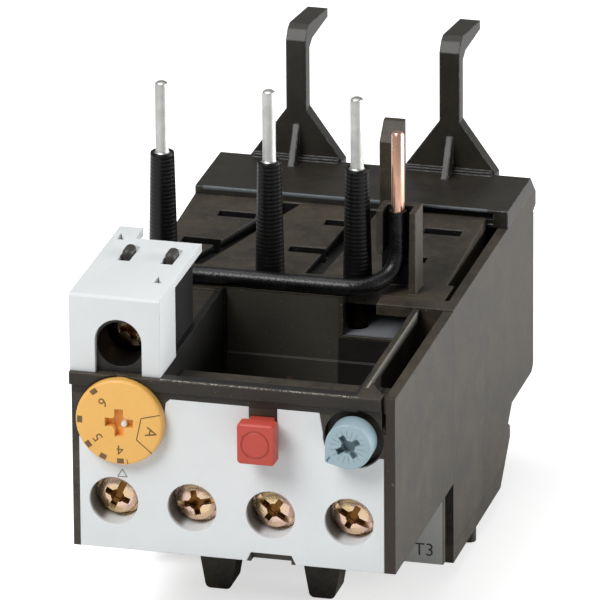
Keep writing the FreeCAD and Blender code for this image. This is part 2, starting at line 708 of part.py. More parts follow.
def coil_shroud():
    """Make the pale shroud: arched front, roof with slots and tab, short side skirts."""
    shape = box((shroud_left, shroud_right), (0, shroud_length), (front_top, shroud_top))
    under = box((shroud_left + shroud_wall, shroud_right - shroud_wall), (0.9, shroud_length + 1),
                (front_top - 1, shroud_top - shroud_wall))
    shape = shape.cut(under)
    behind = box((shroud_left - 1, shroud_right + 1), (shroud_skirt, shroud_length + 1),
                 (front_top - 1, shroud_top - shroud_wall))
    shape = shape.cut(behind)
    tab = box((shroud_left, shroud_left + shroud_tab_width), (shroud_length - 1, shroud_tab),
              (shroud_top - shroud_wall, shroud_top))
    shape = shape.fuse(tab)
    arch = rod_y(coil_x, coil_z + 0.6, arch_half, (-1, 2))
    legs = box(span(coil_x, 2 * arch_half), (-1, 2), (front_top - 1, coil_z + 0.6))
    shape = shape.cut(arch).cut(legs)
    for x in shroud_slots():
        slot = box(span(x, 1.7), (13.4, 18.4), (shroud_top - 3, shroud_top + 1))
        shape = shape.cut(slot).cut(rod_z(x, 18.4, 0.95, (shroud_top - 3, shroud_top + 1)))
    for x, y in ((shroud_left + 1.4, 22.2), (shroud_right - 2.0, 7.6)):
        notch = prism_z([(x - 0.5, y - 1.2), (x + 0.6, y - 1.2), (x - 0.5, y + 1.2)],
                        (shroud_top - 3, shroud_top + 1))
        shape = shape.cut(notch)
    shape = shape.removeSplitter()
    return round_edges(shape, 0.5, lambda e: along(e, "x") and e.CenterOfMass.y < 0.01
                       and e.CenterOfMass.z > shroud_top - 0.01)


def coil_screw():
    """Make the coil terminal's screw."""
    return terminal_screw(coil_x, coil_z, coil_head_front, coil_bar_front + strip_thick + 0.8, 62)


def coil_bar():
    """Make the contact bar that joins the coil terminal to the lead."""
    y = (coil_bar_front, coil_bar_front + strip_thick)
    face = box((lead_x - 1.3, coil_x + coil_clamp_half), y,
               (front_top + coil_floor, coil_z + coil_clamp_half))
    return face.cut(rod_y(coil_x, coil_z, shank_radius + screw_fit, (y[0] - 1, y[1] + 1)))


def lead_path(start, stop):
    """Route of the lead: straight runs with tangent arcs, as (wire, shortest radius)."""
    bend = (post_x - 3.7, lead_y, lead_z)
    corner = (post_x - 0.1, lead_up_y, 29.9)
    points = [V(lead_x, start, lead_z), V(lead_x, lead_y, lead_z), V(*bend), V(*corner),
              V(corner[0], corner[1], stop)]
    radii = [lead_corner, 4.6, 4.2]
    edges = []
    last = points[0]
    for before, point, after, radius in zip(points, points[1:], points[2:], radii):
        back = (before - point).normalize()
        ahead = (after - point).normalize()
        turn = math.pi - back.getAngle(ahead)
        reach = radius * math.tan(turn / 2)
        enter = point + back * reach
        leave = point + ahead * reach
        inward = (back + ahead).normalize()
        middle = point + inward * (radius / math.cos(turn / 2) - radius)
        edges.append(Part.LineSegment(last, enter).toShape())
        edges.append(Part.Arc(enter, middle, leave).toShape())
        last = leave
    edges.append(Part.LineSegment(last, points[-1]).toShape())
    return Part.Wire(edges)


def tube(path, outer, inner=0.0):
    """Sweep a round section along a path that starts along y."""
    start = path.Vertexes[0].Point
    tangent = path.Edges[0].tangentAt(path.Edges[0].FirstParameter)
    ring = Part.Wire(Part.makeCircle(outer, start, tangent))
    solid = path.makePipeShell([ring], True, True)
    if inner:
        hole = path.makePipeShell([Part.Wire(Part.makeCircle(inner, start, tangent))], True, True)
        solid = solid.cut(hole)
    return solid


def lead_insulation():
    """Make the lead's insulation, from the terminal box to the top of the post."""
    return tube(lead_path(box_back - 2 * box_wall, post_top - 0.4), lead_radius, copper_radius)


def lead_conductor():
    """Make the lead's conductor, from the contact bar to the bare end above the post."""
    return tube(lead_path(coil_bar_front + strip_thick, copper_top), copper_radius)


# ---------------------------------------------------------------- dial, button and knob
def setting_dial():
    """Make the current dial: disc with a cross recess, shaft, snap collar and eccentric cam."""
    disc = rod_y(dial_x, dial_z, dial_radius, (dial_front, dial_back))
    disc = disc.makeChamfer(0.3, [e for e in disc.Edges if e.CenterOfMass.y < dial_front + 0.01])
    shaft = rod_y(dial_x, dial_z, shaft_radius, (dial_back, shaft_end - 2.0))
    lock = rod_y(dial_x, dial_z, collar_radius, (front_wall + 0.1, front_wall + 1.0))
    cam = rod_y(dial_x, dial_z + cam_offset, cam_radius, (shaft_end - 2.0, shaft_end))
    shape = joined(disc, shaft, lock, cam)
    for angle in (0, 90):
        arm = box(span(dial_x, 3.8), (dial_front - 1, dial_front + 1.3), span(dial_z, 1.1))
        arm.rotate(V(dial_x, 0, dial_z), V(0, 1, 0), angle)
        shape = shape.cut(arm)
    return shape


def test_button():
    """Make the test button: square head with an engraved ring, stem and stop."""
    head = box(span(button_x, button_width), (button_front, button_front + button_thick),
               span(button_z, button_height))
    head = round_edges(head, 0.5, lambda e: along(e, "y"))
    ring = rod_y(button_x, button_z - 0.2, 1.9, (button_front - 1, button_front + 0.25))
    ring = ring.cut(rod_y(button_x, button_z - 0.2, 1.6, (button_front - 1, button_front + 0.25)))
    stem = box(span(button_x, stem_width), (button_front + button_thick, front_wall + 1.5),
               span(button_z, stem_height))
    stop = box(span(button_x, stem_width + 1.4), (front_wall + 0.1, front_wall + 1.2),
               span(button_z, stem_height))
    return joined(head.cut(ring), stem, stop)


def spring_y(x, z, radius, y, turns, wire):
    """Make a compression spring along y as flat-ended stacked rings joined by short links."""
    pitch = (y[1] - y[0] - wire) / turns
    shape = None
    for i in range(turns + 1):
        low = y[0] + i * pitch
        ring = rod_y(x, z, radius, (low, low + wire))
        ring = ring.cut(rod_y(x, z, radius - wire, (low - 1, low + wire + 1)))
        shape = ring if shape is None else shape.fuse(ring)
        if i < turns:
            side = x + (radius - wire / 2) * (-1) ** i
            link = (low + wire / 2, low + pitch + wire / 2)
            shape = shape.fuse(box(span(side, wire * 0.9), link, span(z, wire)))
    return shape.removeSplitter()


def test_spring():
    """Make the return spring behind the test button."""
    return spring_y(button_x, button_z, 1.3, (front_wall + 1.5, chamber_back), 5, 0.3)


def reset_knob():
    """Make the reset knob: drum with a pointer and a cross recess, and its hollow neck."""
    drum = rod_y(knob_x, knob_z, knob_radius, (knob_front, knob_front + knob_length))
    tip = prism_y([(knob_x - knob_radius, knob_z), (knob_x - knob_radius - 0.1, knob_z - knob_radius + 0.2),
                   (knob_x, knob_z - knob_radius)], (knob_front, knob_front + 1.4))
    drum = drum.fuse(tip).removeSplitter()
    cross = box(span(knob_x, 4.4), (knob_front - 1, knob_front + 1.6), span(knob_z, 1.2))
    for angle in (15, 105):
        arm = cross.copy()
        arm.rotate(V(knob_x, 0, knob_z), V(0, 1, 0), angle)
        drum = drum.cut(arm)
    hollow = rod_y(knob_x, knob_z, knob_stem + turn_fit, (knob_front + 2.6, knob_front + knob_length + 1))
    return drum.cut(hollow)


def reset_plunger():
    """Make the plunger that carries the knob and slides in the casing."""
    neck = rod_y(knob_x, knob_z, knob_stem, (knob_front + 2.7, knob_front + knob_length + 0.1))
    body = rod_y(knob_x, knob_z, plunger_radius, (knob_front + knob_length + 0.1, front_wall + 1.5))
    stop = rod_y(knob_x, knob_z, plunger_radius + 0.5, (front_wall + 0.1, front_wall + 1.1))
    return joined(neck, body, stop)


def reset_spring():
    """Make the return spring behind the reset plunger."""
    return spring_y(knob_x, knob_z, 1.3, (front_wall + 1.5, chamber_back), 5, 0.3)


# ---------------------------------------------------------------- bimetals and trip mechanism
def bimetal(index):
    """Make one bimetal strip, fixed at its back end."""
    x = span(bimetal_x[index], bimetal_thick)
    strip = box(x, strip_y, span(bimetal_z, 2 * bimetal_half))
    nose = box(x, (slide_y[0], strip_y[0]), span(bimetal_z, 2.0))
    return joined(strip, nose)


def heater(index):
    """Make one heater winding: flat turns round the bimetal, joined by links."""
    x = bimetal_x[index]
    gap = 0.35
    thick = 0.6
    broad = 1.2
    inner = (bimetal_thick / 2 + gap, bimetal_half + gap)
    outer = (inner[0] + thick, inner[1] + thick)
    shape = None
    for i in range(winding_turns):
        y = (winding_start + i * winding_pitch, winding_start + i * winding_pitch + broad)
        turn = box(span(x, 2 * outer[0]), y, span(bimetal_z, 2 * outer[1]))
        turn = turn.cut(box(span(x, 2 * inner[0]), (y[0] - 1, y[1] + 1), span(bimetal_z, 2 * inner[1])))
        shape = turn if shape is None else shape.fuse(turn)
        if i:
            side = x + (outer[0] - thick / 2) * (-1) ** i
            link = (y[0] - winding_pitch + broad, y[0])
            shape = shape.fuse(box(span(side, thick), link, span(bimetal_z, 1.6)))
    pin = pin_x[index]
    tail_y = (winding_start - thick, winding_start)
    tail = box(span(x, 2 * inner[0]), (tail_y[0], winding_start + 0.2),
               (bimetal_z + inner[1], bimetal_z + outer[1]))
    rise = box(span(x, 2 * inner[0]), tail_y, (bimetal_z + inner[1], strap_z[1]))
    cross = box((min(x, pin) - 0.6, max(x, pin) + 0.6), tail_y, strap_z)
    ahead = box(span(pin, 1.2), (pin_y, winding_start), strap_z)
    ahead = ahead.cut(rod_z(pin, pin_y, pin_radius, (0, rear_top)))
    return joined(shape, tail, rise, cross, ahead)


def trip_slide():
    """Make the trip slide: a bar across the phases with a pair of fingers round each bimetal."""
    bar_low = bimetal_z + 1.6
    shape = box((slide_left, slide_right), slide_y, (bar_low, slide_z[1]))
    for x in bimetal_x:
        near = x + bimetal_thick / 2 + slide_travel + play
        far = x - bimetal_thick / 2 - play
        shape = shape.fuse(box((near, near + finger), slide_y, (slide_z[0], bar_low)))
        shape = shape.fuse(box((far - finger, far), slide_y, (slide_z[0], bar_low)))
    return shape.removeSplitter()


def trip_lever():
    """Make the trip lever: hub on the pivot, arm back to the slide and arm forward to the carrier."""
    arms = box(span(lever_x, lever_thick), (carrier_y[0] + 0.6, slide_y[1] - 0.3), lever_z)
    hub = rod_z(lever_x, lever_y, lever_hub, lever_z)
    return joined(arms, hub).cut(rod_z(lever_x, lever_y, pivot_radius + turn_fit, (0, rear_top)))


def lever_pivot():
    """Make the pin that the trip lever turns on, between the floor and the roof of its space."""
    return rod_z(lever_x, lever_y, pivot_radius, (inner_floor, pocket_floor - wall))


def contact_carrier():
    """Make the sliding carrier of the auxiliary contacts."""
    return box((carrier_left, carrier_right), carrier_y, carrier_z)


def contact_bridges():
    """Make the two bridges on the carrier: one touches both contacts at rest, one stands off."""
    ends = [x + tongue_side for x in aux_x]
    closed = box((ends[0] - tongue_width / 4, ends[1] + tongue_width / 2), bridge_y, bridge_z)
    opened = box((ends[2] - tongue_width / 2, ends[3] - tongue_width / 2 - play), bridge_y, bridge_z)
    return Part.makeCompound([closed, opened])


PIECES = {
    "front_casing": front_casing,
    "front_panel": front_panel,
    "load_terminal_block": load_terminal_block,
    "rear_casing": rear_casing,
    "base_cover": base_cover,
    "deck_cover": deck_cover,
    "rear_cover": rear_cover,
    "coil_box": coil_box,
    "coil_shroud": coil_shroud,
    "coil_screw": coil_screw,
    "coil_clamp": lambda: clamp_plate(coil_x, coil_z, coil_clamp_front, coil_clamp_half),
    "coil_bar": coil_bar,
    "lead_insulation": lead_insulation,
    "lead_conductor": lead_conductor,
    "setting_dial": setting_dial,
    "test_button": test_button,
    "test_spring": test_spring,
    "reset_knob": reset_knob,
    "reset_plunger": reset_plunger,
    "reset_spring": reset_spring,
    "trip_slide": trip_slide,
    "trip_lever": trip_lever,
    "lever_pivot": lever_pivot,
    "contact_carrier": contact_carrier,
    "contact_bridges": contact_bridges,
}
for i in range(3):
    PIECES["contact_pin_l%d" % (i + 1)] = lambda i=i: contact_pin(i)
    PIECES["pin_sleeve_l%d" % (i + 1)] = lambda i=i: pin_sleeve(i)
    PIECES["load_screw_t%d" % (i + 1)] = lambda i=i: load_screw(i)
    PIECES["load_clamp_t%d" % (i + 1)] = lambda i=i: clamp_plate(load_x[i], load_z, load_clamp_front)
    PIECES["load_bar_t%d" % (i + 1)] = lambda i=i: load_bar(i)
    PIECES["bimetal_%d" % (i + 1)] = lambda i=i: bimetal(i)
    PIECES["heater_%d" % (i + 1)] = lambda i=i: heater(i)
for i in range(4):
    PIECES["aux_screw_%d" % (i + 1)] = lambda i=i: aux_screw(i)
    PIECES["aux_clamp_%d" % (i + 1)] = lambda i=i: clamp_plate(aux_x[i], screw_z, aux_clamp_front)
    PIECES["aux_strip_%d" % (i + 1)] = lambda i=i: aux_strip(i)


def main():
    """Build every piece, move the part over its origin and write one STEP file per piece."""
    os.makedirs("parts", exist_ok=True)
    shapes = {name: make() for name, make in PIECES.items()}
    whole = FreeCAD.BoundBox()
    for shape in shapes.values():
        whole.add(shape.optimalBoundingBox(False))
    offset = V(-whole.Center.x, -whole.Center.y, -whole.ZMin)
    for name, shape in shapes.items():
        shape.translate(offset)
        shape.exportStep("parts/%s.step" % name)
        solids = len(shape.Solids)
        print("%-22s solids %d valid %s volume %9.2f" % (name, solids, shape.isValid(), shape.Volume))
    print("offset %.4f %.4f %.4f" % tuple(offset))
    print("size %.3f %.3f %.3f" % (whole.XLength, whole.YLength, whole.ZLength))


main()
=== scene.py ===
"""Dressed model of a plug-on thermal overload relay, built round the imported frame."""
import logging
import math
from dataclasses import dataclass
from enum import Enum
from typing import Callable, Dict, List, Optional, Sequence, Tuple, Union

import bmesh
import bpy
from mathutils import Matrix, Vector


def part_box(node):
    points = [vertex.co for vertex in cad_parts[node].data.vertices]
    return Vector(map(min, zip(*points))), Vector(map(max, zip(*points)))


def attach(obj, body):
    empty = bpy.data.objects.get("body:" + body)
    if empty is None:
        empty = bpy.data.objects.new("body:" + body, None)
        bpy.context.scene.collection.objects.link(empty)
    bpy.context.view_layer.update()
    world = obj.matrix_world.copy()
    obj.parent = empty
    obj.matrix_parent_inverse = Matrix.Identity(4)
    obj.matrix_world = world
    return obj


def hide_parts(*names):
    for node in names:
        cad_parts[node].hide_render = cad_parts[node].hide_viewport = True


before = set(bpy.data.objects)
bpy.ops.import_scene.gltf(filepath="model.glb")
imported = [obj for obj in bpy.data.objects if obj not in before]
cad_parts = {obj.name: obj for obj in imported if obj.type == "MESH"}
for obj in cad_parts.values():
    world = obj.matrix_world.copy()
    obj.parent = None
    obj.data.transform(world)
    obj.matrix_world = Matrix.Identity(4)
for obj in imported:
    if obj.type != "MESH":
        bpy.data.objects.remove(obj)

LOG = logging.getLogger("overload_relay")
MM = 0.001
Colour = Tuple[float, float, float]
Place = Tuple[float, float, float]
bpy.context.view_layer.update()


def srgb(red: int, green: int, blue: int) -> Colour:
    """Turn a colour of 0 to 255 as it looks on a screen into linear light.

    Args:
        red: Red, 0 to 255.
        green: Green, 0 to 255.
        blue: Blue, 0 to 255.

    Returns:
        The linear colour.
    """
    def linear(level: int) -> float:
        """Give one channel in linear light."""
        share = level / 255
        return share / 12.92 if share <= 0.04045 else ((share + 0.055) / 1.055) ** 2.4
    return (linear(red), linear(green), linear(blue))


class Datum:
    """Places counted in millimetres from the middle of the front panel's lower edge."""

    def __init__(self) -> None:
        """Find the front panel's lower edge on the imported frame."""
        low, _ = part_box("front_panel")
        self.back = low.y
        self.up = low.z

    def at(self, x: float, y: float, z: float) -> Vector:
        """Give a place in the row's frame, in metres.

        Args:
            x: Millimetres to the right.
            y: Millimetres back from the panel's face.
            z: Millimetres up from the panel's lower edge.

        Returns:
            The place in metres.
        """
        return Vector((x * MM, self.back + y * MM, self.up + z * MM))


DATUM = Datum()


# ---------------------------------------------------------------- shader maths
Term = Union[float, int, "Signal"]


class Signal:
    """One output socket that takes part in ordinary sums."""

    def __init__(self, recipe: "Recipe", socket: bpy.types.NodeSocket) -> None:
        """Wrap a socket of a recipe."""
        self.recipe = recipe
        self.socket = socket

    def _math(self, operation: str, first: Term, second: Term = 0.0) -> "Signal":
        """Add one Math node."""
        return self.recipe.add("ShaderNodeMath", {"operation": operation}, {0: first, 1: second})

    def __add__(self, other: Term) -> "Signal":
        """Add."""
        return self._math("ADD", self, other)

    __radd__ = __add__

    def __sub__(self, other: Term) -> "Signal":
        """Subtract."""
        return self._math("SUBTRACT", self, other)

    def __rsub__(self, other: Term) -> "Signal":
        """Subtract from a number."""
        return self._math("SUBTRACT", other, self)

    def __mul__(self, other: Term) -> "Signal":
        """Multiply."""
        return self._math("MULTIPLY", self, other)

    __rmul__ = __mul__

    def between(self, low: float, high: float) -> "Signal":
        """Rise smoothly from 0 at low to 1 at high.

        Args:
            low: Where the result is 0.
            high: Where the result is 1.

        Returns:
            The smoothed share.
        """
        return self.recipe.add("ShaderNodeMapRange", {"interpolation_type": "SMOOTHSTEP"},
                               {"Value": self, "From Min": low, "From Max": high})


class Recipe:
    """The nodes of one material."""

    def __init__(self, name: str) -> None:
        """Start an empty material with a Principled shader and its output.

        Args:
            name: The material's name.
        """
        self.material = bpy.data.materials.new(name)
        self.material.use_nodes = True
        self.tree = self.material.node_tree
        self.tree.nodes.clear()
        self.output = self.tree.nodes.new("ShaderNodeOutputMaterial")
        self.shader = self.tree.nodes.new("ShaderNodeBsdfPrincipled")
        self.tree.links.new(self.shader.outputs[0], self.output.inputs[0])

    def feed(self, socket: bpy.types.NodeSocket, value: object) -> None:
        """Link a signal to a socket, or set the socket's own value.

        Args:
            socket: The input socket.
            value: A signal, a number, a colour or a vector.
        """
        if isinstance(value, Signal):
            self.tree.links.new(value.socket, socket)
        elif isinstance(value, (tuple, list)) and len(socket.default_value) == 4:
            socket.default_value = (*value[:3], 1.0)
        else:
            socket.default_value = value

    def add(self, kind: str, settings: Optional[Dict[str, object]] = None,
            inputs: Optional[Dict[Union[int, str], object]] = None, out: Union[int, str] = 0) -> Signal:
        """Make one node.

        Args:
            kind: The node's type.
            settings: Its own settings, set first.
            inputs: The values or links of its sockets, by name or number.
            out: The output that the signal stands for.

        Returns:
            The chosen output as a signal.
        """
        node = self.tree.nodes.new(kind)
        for key, value in (settings or {}).items():
            setattr(node, key, value)
        for key, value in (inputs or {}).items():
            self.feed(node.inputs[key], value)
        return Signal(self, node.outputs[out])

    def millimetres(self, stretch: Place = (1.0, 1.0, 1.0)) -> Signal:
        """Give the piece's own place in millimetres.

        Args:
            stretch: What each axis is multiplied by; a small share draws a pattern out along it.

        Returns:
            The place.
        """
        own = self.add("ShaderNodeTexCoord", out="Object")
        scale = tuple(share / MM for share in stretch)
        return self.add("ShaderNodeVectorMath", {"operation": "MULTIPLY"}, {0: own, 1: scale})

    def noise(self, place: Signal, grain: float, detail: float = 3.0, rough: float = 0.55) -> Signal:
        """Make noise whose lumps are about one grain across.

        Args:
            place: Where, in millimetres.
            grain: Millimetres across a lump.
            detail: Octaves.
            rough: Weight of the finer octaves.

        Returns:
            The noise, about 0.5 on average.
        """
        return self.add("ShaderNodeTexNoise", {}, {"Vector": place, "Scale": 1.0 / grain,
                                                   "Detail": detail, "Roughness": rough})

    def mix(self, share: Term, first: object, second: object) -> Signal:
        """Mix two colours by a share."""
        return self.add("ShaderNodeMix", {"data_type": "RGBA"}, {0: share, 6: first, 7: second}, out=2)

    def inside(self, patch: "Patch") -> Signal:
        """Give 1 inside a patch and 0 outside it, with a soft border.

        Args:
            patch: The patch.

        Returns:
            The mask.
        """
        own = self.add("ShaderNodeTexCoord", out="Object")
        share: Term = 1.0
        for axis, low, high in zip("XYZ", DATUM.at(*patch.low), DATUM.at(*patch.high)):
            if high - low > ANY * MM:
                continue
            level = self.add("ShaderNodeSeparateXYZ", {}, {0: own}, out=axis) * (1 / MM)
            low, high, soft = low / MM, high / MM, patch.soft / 2
            share = level.between(low - soft, low + soft) * share
            share = share * (1.0 - level.between(high - soft, high + soft))
        return share

    def hollow(self) -> Signal:
        """Give how deep a point lies in a recess, from the piece's own attribute."""
        # The finishes paint shade into recesses by this depth.
        return self.add("ShaderNodeAttribute", {"attribute_name": "recess"}, out="Fac")

    def rounded(self, radius: float) -> Signal:
        """Give the surface's direction with its edges rounded over a radius in millimetres."""
        return self.add("ShaderNodeBevel", {"samples": 6}, {"Radius": radius * MM})

    def edges(self, rounded: Signal) -> Signal:
        """Give 1 on rounded edges and 0 on flat faces.

        Args:
            rounded: The surface's direction with its edges rounded.

        Returns:
            The mask.
        """
        flat = self.add("ShaderNodeNewGeometry", out="Normal")
        dot = self.add("ShaderNodeVectorMath", {"operation": "DOT_PRODUCT"}, {0: rounded, 1: flat},
                       out="Value")
        return (1.0 - dot).between(0.004, 0.12)

    def bump(self, height: Signal, depth: float, normal: Optional[Signal] = None) -> Signal:
        """Turn a height of 0 to 1 into relief.

        Args:
            height: The height.
            depth: Millimetres from the lowest to the highest.
            normal: A direction that the relief is added to.

        Returns:
            The relieved direction.
        """
        inputs: Dict[Union[int, str], object] = {"Height": height, "Strength": 1.0,
                                                 "Distance": depth * MM}
        if normal is not None:
            inputs["Normal"] = normal
        return self.add("ShaderNodeBump", {}, inputs)

    def finish(self, **sockets: object) -> bpy.types.Material:
        """Feed the shader's sockets.

        Args:
            sockets: A value or signal for each, named with underscores for spaces.

        Returns:
            The finished material.
        """
        for key, value in sockets.items():
            self.feed(self.shader.inputs[key.replace("_", " ")], value)
        return self.material


# ---------------------------------------------------------------- finishes
@dataclass(frozen=True)
class Patch:
    """A box from the datum, in millimetres, in which a finish takes another colour.

    The share says how much of the new colour is taken, soft is the width of the border, and broken, where
    it isn't 0, is the grain of the noise that breaks the patch up.
    """

    low: Place
    high: Place
    colour: Colour
    share: float = 0.9
    soft: float = 0.4
    broken: float = 0.0


# A patch from -ANY to ANY has no border on that axis.
ANY = 200.0


@dataclass(frozen=True)
class MouldedPlastic:
    """Moulded plastic with a fine spark-eroded grain, mottling and softened edges.

    Clouds, blotches and speckles are the sizes of its mottling, in millimetres, and grain that of its
    texture. The rim colour is that of the edges, which lighten in broken patches, part wear and part
    painted highlight; the deep one is painted shade in recesses.
    """

    name: str
    colour: Colour
    tint: Colour
    tint_share: float = 0.5
    roughness: float = 0.5
    clouds: float = 5.0
    blotches: float = 1.1
    speckles: float = 0.3
    grain: float = 0.12
    grain_depth: float = 0.006
    edge: float = 0.18
    edge_lift: float = 0.35
    dust: float = 0.0
    gloss: float = 0.5
    rim: Optional[Colour] = None
    deep: Optional[Colour] = None
    patches: Tuple[Patch, ...] = ()

    def material(self) -> bpy.types.Material:
        """Build the material.

        Returns:
            The material.
        """
        recipe = Recipe(self.name)
        place = recipe.millimetres()
        cloud = recipe.noise(place, self.clouds, 4.0, 0.6)
        fine = recipe.noise(place, self.grain, 2.0)
        blotch = recipe.noise(place, self.blotches, 3.0, 0.65)
        rounded = recipe.rounded(self.edge)
        edges = recipe.edges(rounded)
        share = cloud.between(0.35, 0.68) * 0.55 + blotch.between(0.4, 0.7) * 0.3
        speckle = recipe.noise(place, self.speckles, 1.0).between(0.35, 0.7) * 0.25
        share = (share + speckle) * self.tint_share
        colour = recipe.mix(share, self.colour, self.tint)
        for patch in self.patches:
            mask = recipe.inside(patch) * patch.share
            if patch.broken:
                mask = mask * recipe.noise(place, patch.broken, 2.0, 0.7).between(0.5, 0.62)
            colour = recipe.mix(mask, colour, patch.colour)
        # Painted shade in recesses, by the stored recess depth.
        if self.deep:
            colour = recipe.mix(recipe.hollow(), colour, self.deep)
        # Edges lighten towards the rim colour in broken patches: part wear, part painted highlight.
        edge_wear_and_highlight = self.rim or tuple(min(1.0, c + (1 - c) * self.edge_lift * 0.25 + 0.02)
                                 for c in self.colour)
        worn = edges * recipe.noise(place, 0.8, 3.0, 0.7).between(0.38, 0.66) * self.edge_lift
        colour = recipe.mix(worn, colour, edge_wear_and_highlight)
        if self.dust:
            specks = recipe.noise(place, 0.42, 1.0).between(0.735, 0.79) * self.dust
            colour = recipe.mix(specks, colour, srgb(150, 140, 122))
        relief = fine * 0.8 + blotch * 0.4
        rough = (cloud - 0.5) * 0.16 + (fine - 0.5) * 0.12 + self.roughness
        return recipe.finish(Base_Color=colour, Roughness=rough, Specular_IOR_Level=self.gloss,
                             Normal=recipe.bump(relief, self.grain_depth, rounded))


@dataclass(frozen=True)
class PlatedMetal:
    """Metal with a thin plating: fine scratches, soft colour drift and edges that lighten towards a bright
    colour.

    Clouds, drifts and scratches are the sizes of its patterns in millimetres. The brush says how the
    scratches are drawn out, and dent is the depth of its dents in millimetres. The deep colour is painted
    shade in recesses.
    """

    name: str
    colour: Colour
    drift: Colour
    bright: Colour
    deep: Colour = (0.02, 0.015, 0.01)
    roughness: float = 0.3
    clouds: float = 1.9
    drifts: float = 6.0
    scratches: float = 0.16
    brush: Place = (1.0, 1.0, 1.0)
    brush_depth: float = 0.004
    edge: float = 0.08
    dent: float = 0.0

    def material(self) -> bpy.types.Material:
        """Build the material.

        Returns:
            The material.
        """
        recipe = Recipe(self.name)
        place = recipe.millimetres()
        drawn = recipe.millimetres(self.brush)
        cloud = recipe.noise(place, self.clouds, 3.0, 0.6)
        lines = recipe.noise(drawn, self.scratches, 4.0, 0.7)
        rounded = recipe.rounded(self.edge)
        edges = recipe.edges(rounded)
        wide = recipe.noise(place, self.drifts, 2.0, 0.4)
        colour = recipe.mix(cloud.between(0.36, 0.64) * 0.6 + wide.between(0.42, 0.58) * 0.4,
                            self.colour, self.drift)
        colour = recipe.mix(edges * 0.6, colour, self.bright)
        # Painted shade in recesses, by the stored recess depth.
        colour = recipe.mix(recipe.hollow(), colour, self.deep)
        rough = (lines - 0.5) * 0.22 + (cloud - 0.5) * 0.15 + self.roughness
        normal = recipe.bump(cloud, self.dent, recipe.bump(lines, self.brush_depth, rounded))
        return recipe.finish(Base_Color=colour, Metallic=1.0, Roughness=rough, Normal=normal)


@dataclass(frozen=True)
class CableSheath:
    """Glossy soft insulation with faint wrinkles."""

    name: str
    colour: Colour
    worn: Colour
    wrinkles: float = 0.35
    wrinkle_depth: float = 0.05
    clouds: float = 2.2

    def material(self) -> bpy.types.Material:
        """Build the material.

        Returns:
            The material.
        """
        recipe = Recipe(self.name)
        place = recipe.millimetres()
        wrinkle = recipe.noise(place, self.wrinkles, 3.0, 0.65)
        cloud = recipe.noise(place, self.clouds, 2.0)
        colour = recipe.mix(cloud.between(0.4, 0.7), self.colour, self.worn)
        rough = wrinkle * 0.22 + 0.18
        return recipe.finish(Base_Color=colour, Roughness=rough, Specular_IOR_Level=0.4,
                             Normal=recipe.bump(wrinkle, self.wrinkle_depth))


@dataclass(frozen=True)
class Print:
    """Thin print or ink."""

    name: str
    colour: Colour

    def material(self) -> bpy.types.Material:
        """Build the material.

        Returns:
            The material.
        """
        recipe = Recipe(self.name)
        place = recipe.millimetres()
        patch = recipe.noise(place, 0.25, 2.0)
        lighter = tuple(min(1.0, c * 1.5 + 0.02) for c in self.colour)
        colour = recipe.mix(patch.between(0.45, 0.7) * 0.6, self.colour, lighter)
        return recipe.finish(Base_Color=colour, Roughness=patch * 0.2 + 0.45)


# Places of the four auxiliary terminal screws across the panel, from the datum.
AUX_SCREW_XS = (-16.6, -5.7, 5.2, 16.1)


